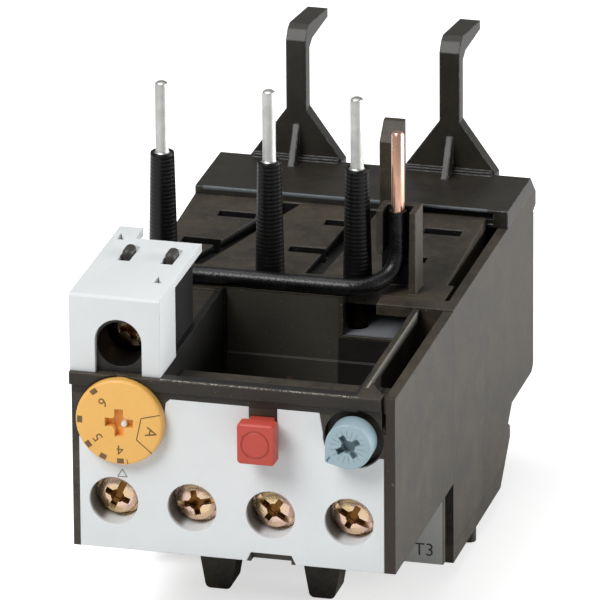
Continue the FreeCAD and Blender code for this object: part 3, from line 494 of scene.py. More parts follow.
class Finish(Enum):
    """Every finish on the relay, by what it is used for."""

    BLACK = MouldedPlastic(
        "black_plastic", srgb(37, 34, 30), srgb(84, 75, 57), tint_share=0.6, dust=0.3, patches=(
            # Painted light on the end of the load block that carries the mark.
            Patch((17.0, 26.0, -16.0), (22.42, 27.0, 1.0), srgb(186, 188, 184), soft=0.1),
            # The parting line and the fine step in front of it, on the right.
            Patch((22.3, 32.72, -9.0), (23.0, 32.9, 25.0), srgb(26, 24, 22), 0.8, 0.1),
            Patch((22.3, 31.5, 0.2), (23.0, 31.62, 25.0), srgb(26, 24, 22), 0.6, 0.1),
            # The seam over the base cover.
            Patch((22.3, 33.0, -9.42), (23.0, 66.0, -9.2), srgb(20, 18, 16), 0.8, 0.12),
            # The strip over the panel.
            Patch((-22.6, -0.9, 22.2), (20.9, 0.3, 25.06), srgb(28, 22, 15), 0.9, 0.1),
            # Painted reflection, pale bluish grey, on the shelf in the window of the pocket's back wall.
            Patch((4.6, 34.9, 17.5), (17.2, 47.0, 20.2), srgb(134, 137, 142), soft=0.8),
            # Painted light on the right-facing side of the pocket's right rail.
            Patch((17.7, 3.2, 18.4), (18.0, 31.5, 25.4), srgb(152, 150, 142), 0.85, soft=0.2),
            # The casing's top behind that strip, darkened, and a broken painted highlight along its burred
            # front edge.
            Patch((-9.8, 0.0, 22.9), (17.2, 9.6, 26.0), srgb(13, 12, 11), 0.95),
            Patch((-9.8, -0.9, 25.2), (17.6, -0.25, 26.0), srgb(206, 202, 192), 0.85, 0.14, 0.22),
            # The strip right of the panel.
            Patch((20.9, -1.0, -1.0), (22.44, 0.6, 26.0), srgb(42, 29, 16), 0.95, 0.1),
            # Painted shade on the pocket's back wall and left wall, from left to right, with painted light
            # on the lit middle stretch of the back wall. The first patch also paints a dark band 2 mm wide
            # down the casing's left side.
            Patch((-23.0, 33.0, -1.0), (-9.8, 35.0, 25.2), srgb(8, 8, 7), 0.9, 0.3),
            Patch((-11.2, 1.6, 2.0), (-9.6, 33.4, 26.0), srgb(6, 6, 6), 0.94, 0.12),
            Patch((-9.8, 33.0, -1.0), (5.9, 35.0, 25.2), srgb(66, 64, 58), 0.7, 0.3),
            Patch((5.9, 33.0, -1.0), (18.0, 35.0, 19.4), srgb(8, 8, 7), 0.9, 0.3),
            # A speck of the strip behind the pocket's back wall.
            Patch((-1.3, 33.8, 12.4), (-0.6, 35.0, 13.2), srgb(120, 84, 66), 0.8, 0.3)),
        # Its deep colour is painted shade in the deck's slots, grooves and the post's channel.
        deep=srgb(8, 8, 7))
    INNER = MouldedPlastic(
        "inner_black_plastic", srgb(24, 22, 20), srgb(36, 33, 28), dust=0.3, patches=(
            # Painted shade in the well behind the shroud's mouth and on the terminal box's right side.
            Patch((-ANY, 1.1, 25.4), (ANY, 9.0, 34.0), srgb(8, 7, 6), 0.92),
            Patch((-11.3, 0.5, 24.9), (-10.7, 21.6, 35.8), srgb(6, 6, 6), 0.94, 0.12)))
    # Its rim colour is a bluish painted highlight on the edges, and its patch a painted highlight along the
    # plateau's front top edge.
    HOOK = MouldedPlastic("hook_plastic", srgb(31, 28, 24), srgb(58, 53, 42), roughness=0.42,
                          edge=0.32, edge_lift=0.8, rim=srgb(112, 120, 128), patches=(
                              Patch((-21.4, 64.0, 27.62), (19.5, 65.25, 28.4),
                                    srgb(104, 111, 116), 0.8, 0.25),))
    PALE = MouldedPlastic(
        "pale_plastic", srgb(222, 225, 226), srgb(216, 219, 220), grain_depth=0.003, edge_lift=0.0,
        roughness=0.55, gloss=0.3, patches=tuple(
            # The shaded left side of each screw well.
            Patch((x - 4.0, 0.5, 2.0), (x - 1.6, 5.0, 9.0), srgb(84, 74, 64), 0.85, 1.0)
            for x in AUX_SCREW_XS))
    # Its deep colour is painted shade in the dial's cross recess.
    AMBER = MouldedPlastic("amber_plastic", srgb(238, 184, 98), srgb(232, 177, 92),
                           grain_depth=0.002, edge_lift=0.3, roughness=0.42, tint_share=0.7,
                           deep=srgb(244, 170, 74))
    RED = MouldedPlastic("red_plastic", srgb(190, 72, 58), srgb(180, 66, 54), grain_depth=0.004,
                         edge_lift=0.35, roughness=0.45)
    # Its deep colour is painted shade in the knob's recess.
    BLUE = MouldedPlastic("blue_plastic", srgb(156, 178, 186), srgb(140, 163, 173),
                          grain_depth=0.004, edge_lift=0.2, roughness=0.4,
                          deep=srgb(110, 131, 143))
    WHITE = MouldedPlastic("white_plastic", srgb(226, 224, 214), srgb(214, 212, 202),
                           edge_lift=0.0)
    # Its fourth colour is painted shade in the screw recesses.
    ZINC = PlatedMetal("yellow_zinc_steel", srgb(238, 208, 152), srgb(240, 206, 192),
                       srgb(255, 244, 212), srgb(116, 80, 40), roughness=0.27, dent=0.16)
    STEEL = PlatedMetal("spring_steel", srgb(186, 186, 186), srgb(170, 172, 176),
                        srgb(230, 230, 230), roughness=0.3)
    # Its deep colour, left at the near-black default, is painted shade on the pins below the deck.
    TIN = PlatedMetal("tinned_copper", srgb(228, 229, 226), srgb(208, 210, 206),
                      srgb(244, 244, 240), roughness=0.42, brush=(2.0, 2.0, 0.06))
    COPPER = PlatedMetal("bare_copper", srgb(255, 207, 182), srgb(246, 191, 166),
                         srgb(255, 222, 204), roughness=0.3, brush=(2.0, 2.0, 0.05))
    BRASS = PlatedMetal("contact_brass", srgb(206, 176, 112), srgb(190, 158, 98),
                        srgb(236, 214, 160), roughness=0.32, brush=(0.1, 2.0, 2.0))
    BIMETAL = PlatedMetal("bimetal_alloy", srgb(176, 168, 156), srgb(158, 146, 132),
                          srgb(206, 200, 190), roughness=0.36, brush=(2.0, 0.06, 2.0))
    SHEATH = CableSheath("cable_sheath", srgb(10, 10, 11), srgb(26, 26, 28))
    PEG = MouldedPlastic("peg_plastic", srgb(52, 50, 47), srgb(72, 70, 66), grain_depth=0.01)
    SLEEVE = MouldedPlastic("sleeve_plastic", srgb(13, 12, 12), srgb(20, 19, 18), roughness=0.34,
                            grain_depth=0.01, edge=0.05, edge_lift=0.1, gloss=0.28)
    DIAL_INK = Print("dial_ink", srgb(112, 82, 46))
    GREY_INK = Print("grey_ink", srgb(120, 120, 118))
    DARK_INK = Print("dark_ink", srgb(52, 50, 48))


class Paintbox:
    """Materials by finish, each made once."""

    def __init__(self) -> None:
        """Start empty."""
        self.made: Dict[Finish, bpy.types.Material] = {}

    def get(self, finish: Finish) -> bpy.types.Material:
        """Give the material of a finish.

        Args:
            finish: The finish.

        Returns:
            Its material.
        """
        if finish not in self.made:
            self.made[finish] = finish.value.material()
        return self.made[finish]

    def coat(self, piece: bpy.types.Object, finish: Finish) -> bpy.types.Object:
        """Put one finish all over a new piece.

        Args:
            piece: The piece.
            finish: The finish.

        Returns:
            The piece.
        """
        piece.data.materials.clear()
        piece.data.materials.append(self.get(finish))
        return piece

    def dress(self, node: str, finish: Finish) -> None:
        """Put one finish on a node of the frame.

        Args:
            node: The node's name.
            finish: The finish.
        """
        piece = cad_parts[node]
        for slot in piece.material_slots:
            slot.material = self.get(finish)


PAINT = Paintbox()


# ---------------------------------------------------------------- modelling moves
EdgeTest = Callable[[bmesh.types.BMEdge], bool]
FONT_SIZE_PER_HEIGHT = 1.38


class Axis(Enum):
    """Which way a spun piece's axis points."""

    BACK = "back"
    UP = "up"


class Bench:
    """Modelling moves, each on one selected piece."""

    @staticmethod
    def take(piece: bpy.types.Object) -> None:
        """Select one piece alone and make it active.

        Args:
            piece: The piece.
        """
        bpy.ops.object.select_all(action="DESELECT")
        piece.select_set(True)
        bpy.context.view_layer.objects.active = piece

    @staticmethod
    def named(name: str) -> bpy.types.Object:
        """Name the piece that was just added and apply its place.

        Args:
            name: The name of the piece and its mesh.

        Returns:
            The piece.
        """
        piece = bpy.context.object
        piece.name = name
        piece.data.name = name
        bpy.ops.object.transform_apply(location=True, rotation=True, scale=True)
        return piece

    @staticmethod
    def block(name: str, low: Place, high: Place) -> bpy.types.Object:
        """Add a block between two corners.

        Args:
            name: The piece's name.
            low: Its left, front, lower corner, from the datum in millimetres.
            high: Its right, back, upper corner.

        Returns:
            The block.
        """
        bpy.ops.object.select_all(action="DESELECT")
        middle = DATUM.at(*[(a + b) / 2 for a, b in zip(low, high)])
        bpy.ops.mesh.primitive_cube_add(size=1.0, location=middle)
        bpy.context.object.scale = [(b - a) * MM for a, b in zip(low, high)]
        return Bench.named(name)

    @staticmethod
    def rod(name: str, middle: Tuple[float, float], radius: float, front: float, back: float,
            sides: int = 64) -> bpy.types.Object:
        """Add a rod that points back.

        Args:
            name: The piece's name.
            middle: Its axis, (x, z) from the datum in millimetres.
            radius: Its radius.
            front: Depth of its front end.
            back: Depth of its back end.
            sides: Faces round it.

        Returns:
            The rod.
        """
        bpy.ops.object.select_all(action="DESELECT")
        bpy.ops.mesh.primitive_cylinder_add(
            vertices=sides, radius=radius * MM, depth=(back - front) * MM, rotation=(math.pi / 2, 0, 0),
            location=DATUM.at(middle[0], (front + back) / 2, middle[1]))
        return Bench.named(name)

    @staticmethod
    def cross(middle: Tuple[float, float], arm: float, width: float, face: float,
              depth: float) -> List[bpy.types.Object]:
        """Make the two bars that cut a cross-shaped recess into a face.

        Args:
            middle: The recess's middle, (x, z) from the datum.
            arm: Reach of its arms.
            width: Width of its arms.
            face: Depth of the face.
            depth: Depth of the recess behind the face.

        Returns:
            The upright and the level bar.
        """
        x, z = middle
        return [Bench.block("bar", (x - across, face - 1, z - along), (x + across, face + depth, z + along))
                for across, along in ((width / 2, arm), (arm, width / 2))]

    @staticmethod
    def slab(name: str, outline: Sequence[Tuple[float, float]], front: float,
             back: float) -> bpy.types.Object:
        """Draw an outline that looks to the front and extrude it backwards.

        Args:
            name: The piece's name.
            outline: Its corners, (x, z) from the datum in millimetres.
            front: Depth of its front face.
            back: Depth of its back face.

        Returns:
            The slab.
        """
        bpy.ops.object.select_all(action="DESELECT")
        bpy.ops.mesh.primitive_plane_add(size=1.0)
        piece = Bench.named(name)
        mesh = bmesh.new()
        mesh.faces.new([mesh.verts.new(DATUM.at(x, front, z)) for x, z in outline])
        mesh.to_mesh(piece.data)
        mesh.free()
        Bench.take(piece)
        bpy.ops.object.mode_set(mode="EDIT")
        bpy.ops.mesh.select_all(action="SELECT")
        bpy.ops.mesh.extrude_region_move(
            TRANSFORM_OT_translate={"value": (0.0, (back - front) * MM, 0.0)})
        bpy.ops.mesh.select_all(action="SELECT")
        bpy.ops.mesh.normals_make_consistent(inside=False)
        bpy.ops.object.mode_set(mode="OBJECT")
        return piece

    @staticmethod
    def bevel(piece: bpy.types.Object, wanted: EdgeTest, width: float, segments: int = 3) -> None:
        """Round the edges that pass a test.

        Args:
            piece: The piece.
            wanted: The test of each edge.
            width: Width of the rounding in millimetres.
            segments: Faces across the rounding.
        """
        Bench.take(piece)
        bpy.ops.object.mode_set(mode="EDIT")
        bpy.ops.mesh.select_mode(type="EDGE")
        bpy.ops.mesh.select_all(action="DESELECT")
        mesh = bmesh.from_edit_mesh(piece.data)
        for edge in mesh.edges:
            edge.select_set(wanted(edge))
        bmesh.update_edit_mesh(piece.data)
        bpy.ops.mesh.bevel(offset=width * MM, segments=segments, profile=0.5, affect="EDGES",
                           clamp_overlap=True)
        bpy.ops.object.mode_set(mode="OBJECT")

    @staticmethod
    def cut(piece: bpy.types.Object, *tools: bpy.types.Object, join: bool = False) -> None:
        """Cut tools out of a piece, or join them to it, and remove the tools.

        Args:
            piece: The piece.
            tools: The tools, which go.
            join: Join in place of cutting.
        """
        for tool in tools:
            Bench.take(piece)
            modifier = piece.modifiers.new("cut", "BOOLEAN")
            modifier.operation = "UNION" if join else "DIFFERENCE"
            modifier.solver = "EXACT"
            modifier.object = tool
            bpy.ops.object.modifier_apply(modifier=modifier.name)
            bpy.data.objects.remove(tool)

    @staticmethod
    def merged(pieces: Sequence[bpy.types.Object]) -> bpy.types.Object:
        """Join pieces that don't touch into one piece of one mesh.

        Args:
            pieces: The pieces; the first one stays and takes in the others.

        Returns:
            The joined piece.
        """
        Bench.take(pieces[0])
        for piece in pieces:
            piece.select_set(True)
        bpy.ops.object.join()
        return bpy.context.object

    @staticmethod
    def turn(piece: bpy.types.Object, angle: float, centre: Place) -> bpy.types.Object:
        """Turn a piece's mesh about an axis that points back.

        Args:
            piece: The piece.
            angle: Degrees, clockwise as seen from the front.
            centre: A place on the axis, from the datum.

        Returns:
            The piece.
        """
        pivot = DATUM.at(*centre)
        matrix = Matrix.Translation(pivot) @ Matrix.Rotation(math.radians(angle), 4, "Y")
        piece.data.transform(matrix @ Matrix.Translation(-pivot))
        return piece

    @staticmethod
    def hollow(piece: bpy.types.Object, middle: Tuple[float, float], radius: float,
               face: float, depth: float = 0.5, deepest: float = math.inf) -> None:
        """Store how deep each point near an axis lies behind a face, from 0 to 1.

        Args:
            piece: The piece.
            middle: The axis, (x, z) from the datum.
            radius: How far from the axis points still count.
            face: Depth of the face.
            depth: Depth behind the face at which the value is 1.
            deepest: How deep behind the face points still count.
        """
        # The finishes paint shade into recesses by this value.
        store = piece.data.attributes.new("recess", "FLOAT", "POINT")
        axis = DATUM.at(middle[0], face, middle[1])
        for point, item in zip(piece.data.vertices, store.data):
            away = (point.co - axis) / MM
            counts = math.hypot(away.x, away.z) < radius and away.y < deepest
            item.value = min(1.0, max(0.0, away.y / depth)) if counts else 0.0

    @staticmethod
    def shift(piece: bpy.types.Object, move: Place) -> bpy.types.Object:
        """Move a piece's mesh by millimetres."""
        piece.data.transform(Matrix.Translation(Vector(move) * MM))
        return piece

    @staticmethod
    def copied(piece: bpy.types.Object, name: str) -> bpy.types.Object:
        """Copy a piece with its own mesh.

        Args:
            piece: The piece.
            name: The copy's name.

        Returns:
            The copy.
        """
        twin = piece.copy()
        twin.data = piece.data.copy()
        twin.name = name
        twin.data.name = name
        bpy.context.scene.collection.objects.link(twin)
        return twin

    @staticmethod
    def carried(node: str, name: str) -> bpy.types.Object:
        """Copy a node of the frame as a clean mesh of flat faces to be worked on.

        Args:
            node: The node.
            name: The new piece's name.

        Returns:
            The copy.
        """
        twin = Bench.copied(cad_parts[node], name)
        twin.parent = None
        for key in list(twin.keys()):
            if key.startswith("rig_"):
                del twin[key]
        Bench.take(twin)
        bpy.ops.object.mode_set(mode="EDIT")
        bpy.ops.mesh.select_all(action="SELECT")
        bpy.ops.mesh.remove_doubles(threshold=0.002 * MM)
        bpy.ops.mesh.dissolve_limited(angle_limit=math.radians(0.6))
        bpy.ops.object.mode_set(mode="OBJECT")
        if twin.data.has_custom_normals:
            bpy.ops.mesh.customdata_custom_splitnormals_clear()
        return twin

    @staticmethod
    def ease(piece: bpy.types.Object, width: float, least: float, segments: int,
             sharp: float = 50.0) -> None:
        """Round a piece's longer sharp edges.

        Args:
            piece: The piece.
            width: Width of the rounding in millimetres.
            least: Shortest edge that is rounded, in millimetres.
            segments: Faces across the rounding.
            sharp: Degrees between the faces of a sharp edge, at least.
        """
        def wanted(edge: bmesh.types.BMEdge) -> bool:
            """Tell whether an edge is sharp and long enough.

            Args:
                edge: The edge.

            Returns:
                Whether it is.
            """
            if len(edge.link_faces) != 2 or edge.calc_length() < least * MM:
                return False
            return edge.calc_face_angle(0.0) >= math.radians(sharp)
        Bench.bevel(piece, wanted, width, segments)

    @staticmethod
    def smooth(piece: bpy.types.Object, angle: float = 32.0) -> None:
        """Shade a piece smooth, apart from edges sharper than an angle."""
        Bench.take(piece)
        bpy.ops.object.shade_smooth_by_angle(angle=math.radians(angle))

    @staticmethod
    def spun(name: str, profile: Sequence[Tuple[float, float]], centre: Place, axis: Axis = Axis.UP,
             steps: int = 48) -> bpy.types.Object:
        """Spin a profile round an axis.

        Args:
            name: The piece's name.
            profile: Points as (radius, height along the axis) in millimetres.
            centre: The foot of the axis, from the datum.
            axis: Which way the axis points.
            steps: Faces round the axis.

        Returns:
            The spun piece.
        """
        bpy.ops.object.select_all(action="DESELECT")
        bpy.ops.mesh.primitive_plane_add(size=1.0)
        piece = Bench.named(name)
        mesh = bmesh.new()
        turned = [mesh.verts.new((r * MM, 0, h * MM)) for r, h in profile]
        for first, second in zip(turned, turned[1:]):
            mesh.edges.new((first, second))
        mesh.to_mesh(piece.data)
        mesh.free()
        Bench.take(piece)
        bpy.ops.object.mode_set(mode="EDIT")
        bpy.ops.mesh.select_all(action="SELECT")
        bpy.ops.mesh.spin(steps=steps, angle=2 * math.pi, center=(0, 0, 0), axis=(0, 0, 1))
        bpy.ops.mesh.select_all(action="SELECT")
        bpy.ops.mesh.remove_doubles(threshold=0.001 * MM)
        bpy.ops.mesh.normals_make_consistent(inside=False)
        bpy.ops.object.mode_set(mode="OBJECT")
        if axis is Axis.BACK:
            piece.data.transform(Matrix.Rotation(-math.pi / 2, 4, "X"))
        piece.data.transform(Matrix.Translation(DATUM.at(*centre)))
        return piece

    @staticmethod
    def lettering(name: str, text: str, height: float, place: Place, angle: float = 0.0,
                  thick: float = 0.02) -> bpy.types.Object:
        """Write text on a face that looks to the front.

        Args:
            name: The piece's name.
            text: What it says.
            height: Height of its letters in millimetres.
            place: Its middle, from the datum.
            angle: Degrees that its top leans to the left.
            thick: Thickness of the print in millimetres.

        Returns:
            The lettering as a mesh.
        """
        bpy.ops.object.select_all(action="DESELECT")
        bpy.ops.object.text_add(location=(0, 0, 0))
        piece = bpy.context.object
        piece.data.body = text
        piece.data.size = height * MM * FONT_SIZE_PER_HEIGHT
        piece.data.align_x = "CENTER"
        piece.data.align_y = "CENTER"
        piece.data.extrude = thick * MM / 2
        piece.data.resolution_u = 4
        bpy.ops.object.convert(target="MESH")
        piece = Bench.named(name)
        turn = Matrix.Rotation(math.radians(90), 4, "X") @ Matrix.Rotation(math.radians(angle), 4, "Z")
        piece.data.transform(Matrix.Translation(DATUM.at(*place)) @ turn)
        return piece

    @staticmethod
    def ride(piece: bpy.types.Object, body: str, finish: Finish, slot: str,
             replaces: Sequence[str] = ()) -> bpy.types.Object:
        """Coat a finished piece and hand it to its body.

        Args:
            piece: The piece.
            body: The body that carries it.
            finish: Its finish.
            slot: The record's material slot; not used.
            replaces: Nodes that it stands for.

        Returns:
            The piece.
        """
        PAINT.coat(piece, finish)
        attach(piece, body)
        if replaces:
            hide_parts(*replaces)
        LOG.info("%s rides %s", piece.name, body)
        return piece


def rim_of(face_y: float, slack: float = 0.02) -> EdgeTest:
    """Make a test for edges that lie at one depth in millimetres."""
    level = DATUM.at(0, face_y, 0).y
    return lambda edge: all(abs(v.co.y - level) < slack * MM for v in edge.verts)


# ---------------------------------------------------------------- plain dressing of frame nodes
@dataclass(frozen=True)
class Dressing:
    """Which nodes of the frame wear a finish."""

    finish: Finish
    nodes: Tuple[str, ...]


DRESSINGS: Tuple[Dressing, ...] = (
    Dressing(Finish.BLACK, ("front_casing", "rear_casing", "base_cover", "deck_cover",
                            "load_terminal_block")),
    Dressing(Finish.HOOK, ("rear_cover",)),
    Dressing(Finish.INNER, ("coil_box",)),
    Dressing(Finish.PALE, ("front_panel", "coil_shroud")),
    Dressing(Finish.AMBER, ("setting_dial",)),
    Dressing(Finish.RED, ("test_button",)),
    Dressing(Finish.BLUE, ("reset_knob", "reset_plunger")),
    Dressing(Finish.WHITE, ("trip_slide", "contact_carrier")),
    Dressing(Finish.STEEL, ("test_spring", "reset_spring", "lever_pivot", "heater_1", "heater_2",
                            "heater_3")),
    Dressing(Finish.BIMETAL, ("bimetal_1", "bimetal_2", "bimetal_3", "trip_lever")),
    Dressing(Finish.BRASS, ("contact_bridges", "coil_bar", "load_bar_t1", "load_bar_t2",
                            "load_bar_t3", "aux_strip_1", "aux_strip_2", "aux_strip_3",
                            "aux_strip_4")),
    Dressing(Finish.ZINC, ("coil_clamp", "load_clamp_t1", "load_clamp_t2", "load_clamp_t3",
                           "aux_clamp_1", "aux_clamp_2", "aux_clamp_3", "aux_clamp_4",
                           "coil_screw", "load_screw_t1", "load_screw_t2", "load_screw_t3",
                           "aux_screw_1", "aux_screw_2", "aux_screw_3", "aux_screw_4")),
    Dressing(Finish.TIN, ("contact_pin_l1", "contact_pin_l2", "contact_pin_l3")),
    Dressing(Finish.SLEEVE, ("pin_sleeve_l1", "pin_sleeve_l2", "pin_sleeve_l3")),
    Dressing(Finish.SHEATH, ("lead_insulation",)),
    Dressing(Finish.COPPER, ("lead_conductor",)),
)


# ---------------------------------------------------------------- sub-assemblies
@dataclass
class SettingDial:
    """The amber current dial with its marks."""

    x: float = -15.3
    z: float = 18.95
    radius: float = 6.1
    front: float = -1.6
    back: float = -0.1
    rim: float = 0.45
    arm: float = 1.95
    arm_width: float = 1.2
    recess: float = 1.1
    pit_radius: float = 1.05
    pit_depth: float = 1.25
    shaft_radius: float = 1.9
    shaft_front: float = -0.4
    shaft_back: float = 8.0
    collar_radius: float = 2.6
    collar_front: float = 3.0
    collar_back: float = 3.9
    pip: Place = (0.62, 0.25, -0.25)
    pip_radius: float = 0.42
    pip_rim: float = 0.15
    mark_radius: float = 5.47
    mark_size: Tuple[float, float] = (0.95, 0.72)
    marks: Tuple[float, ...] = (-1.5, 24.6, 51.7, 91.0, 141.0)
    tick_radius: float = 5.6
    tick_size: Tuple[float, float] = (0.12, 0.7)
    tick: float = -11.5
    print_thick: float = 0.02
    digit_height: float = 1.45
    digits: Tuple[Tuple[str, float, float, float], ...] = (
        ("4", -15.2, 15.1, 178.0), ("5", -18.25, 16.65, 130.0), ("6", -17.55, 21.75, 225.0))
    letter_height: float = 1.6
    letter: Tuple[float, float, float] = (-10.9, 17.95, 255.0)
    frame_width: float = 0.14
    frame_corners: Tuple[Tuple[float, float], ...] = (
        (-9.6, 20.6), (-12.2, 19.9), (-12.87, 16.75), (-10.75, 14.95))

    def build(self) -> None:
        """Model the disc with its shaft, its pip and its print."""
        self.disc()
        self.setting_pip()
        for number, angle in enumerate(self.marks, 1):
            self.mark(f"setting_dial_mark_{number}", angle, self.mark_size, self.mark_radius)
        self.mark("setting_dial_tick", self.tick, self.tick_size, self.tick_radius)
        self.lettering()

    def disc(self) -> None:
        """Model the disc with its cross recess and the shaft behind it."""
        middle = (self.x, self.z)
        disc = Bench.rod("setting_dial_disc", middle, self.radius, self.front, self.back, sides=128)
        Bench.bevel(disc, rim_of(self.front), self.rim, 5)
        shaft = Bench.rod("shaft", middle, self.shaft_radius, self.shaft_front, self.shaft_back, sides=48)
        collar = Bench.rod("collar", middle, self.collar_radius, self.collar_front, self.collar_back,
                           sides=48)
        Bench.cut(disc, shaft, collar, join=True)
        pit = Bench.rod("pit", middle, self.pit_radius, self.front - 1, self.front + self.pit_depth,
                        sides=32)
        Bench.cut(disc, *Bench.cross(middle, self.arm, self.arm_width, self.front, self.recess), pit)
        # Store the recess depth, by which the cross recess gets painted shade.
        Bench.hollow(disc, middle, self.arm + 0.25, self.front)
        Bench.smooth(disc)
        Bench.ride(disc, "dial", Finish.AMBER, "amber_plastic", ("setting_dial",))

    def setting_pip(self) -> None:
        """Model the pale pip in the recess."""
        right, behind, above = self.pip
        front = self.front + behind
        pip = Bench.rod("setting_dial_pip", (self.x + right, self.z + above), self.pip_radius, front,
                        front + 1.0, sides=32)
        Bench.bevel(pip, rim_of(front), self.pip_rim, 3)
        Bench.smooth(pip)
        Bench.ride(pip, "dial", Finish.WHITE, "white_plastic")

    def mark(self, name: str, angle: float, size: Tuple[float, float], radius: float) -> None:
        """Print one small block on the face.

        Args:
            name: The piece's name.
            angle: Degrees from the bottom, clockwise.
            size: Its width and height.
            radius: How far its middle is from the dial's.
        """
        wide, tall = size
        low = self.z - radius - tall / 2
        block = Bench.block(name, (self.x - wide / 2, self.front - self.print_thick, low),
                            (self.x + wide / 2, self.front + self.print_thick, low + tall))
        Bench.turn(block, angle, (self.x, self.front, self.z))
        Bench.ride(block, "dial", Finish.DIAL_INK, "amber_plastic")

    def lettering(self) -> None:
        """Print the three digits, the letter and its frame."""
        face = self.front - self.print_thick / 2
        for text, x, z, lean in self.digits:
            digit = Bench.lettering(f"setting_dial_digit_{text}", text, self.digit_height, (x, face, z),
                                    lean)
            Bench.ride(digit, "dial", Finish.DIAL_INK, "amber_plastic")
        x, z, lean = self.letter
        letter = Bench.lettering("setting_dial_letter_a", "A", self.letter_height, (x, face, z), lean)
        Bench.ride(letter, "dial", Finish.DIAL_INK, "amber_plastic")
        for number, (start, end) in enumerate(zip(self.frame_corners, self.frame_corners[1:]), 1):
            line = self.stroke(f"setting_dial_line_{number}", start, end, self.frame_width, face)
            Bench.ride(line, "dial", Finish.DIAL_INK, "amber_plastic")

    @staticmethod
    def stroke(name: str, start: Tuple[float, float], end: Tuple[float, float], width: float,
               face: float) -> bpy.types.Object:
        """Draw a thin line on a face that looks to the front.

        Args:
            name: The piece's name.
            start: Its first end, (x, z).
            end: Its other end, (x, z).
            width: Its width.
            face: Depth of its middle.

        Returns:
            The line.
        """
        length = math.dist(start, end)
        middle = ((start[0] + end[0]) / 2, face, (start[1] + end[1]) / 2)
        line = Bench.block(name, (middle[0] - length / 2, face - 0.015, middle[2] - width / 2),
                           (middle[0] + length / 2, face + 0.015, middle[2] + width / 2))
        angle = math.degrees(math.atan2(end[1] - start[1], end[0] - start[0]))
        return Bench.turn(line, -angle, middle)


@dataclass
class TestButton:
    """The red test button on its stem."""

    x: float = 4.3
    z: float = 18.6
    width: float = 5.25
    height: float = 5.8
    front: float = -4.2
    thick: float = 2.1
    corner: float = 0.55
    rim: float = 0.4
    ring: float = 2.02
    ring_width: float = 0.26
    ring_depth: float = 0.12
    stem_height: float = 5.0
    stem_width: float = 3.3
    stem_front: float = -2.7
    stem_back: float = 4.4

    def build(self) -> None:
        """Model the head with its ring groove and the stem behind it."""
        middle, w, h = (self.x, self.z), self.width / 2, self.height / 2
        head = Bench.block("test_button_head", (self.x - w, self.front, self.z - h),
                           (self.x + w, self.front + self.thick, self.z + h))
        Bench.bevel(head, lambda e: abs(e.verts[0].co.y - e.verts[1].co.y) > 1 * MM, self.corner, 4)
        Bench.bevel(head, rim_of(self.front), self.rim, 4)
        ring = Bench.rod("ring", middle, self.ring, self.front - 1, self.front + self.ring_depth)
        island = Bench.rod("island", middle, self.ring - self.ring_width, self.front - 2, self.front + 1)
        Bench.cut(ring, island)
        Bench.cut(head, ring)
        stem = Bench.block("stem", (self.x - self.stem_width / 2, self.stem_front,
                                    self.z - self.stem_height / 2),
                           (self.x + self.stem_width / 2, self.stem_back, self.z + self.stem_height / 2))
        Bench.cut(head, stem, join=True)
        Bench.smooth(head)
        Bench.ride(head, "test_button", Finish.RED, "red_plastic", ("test_button",))


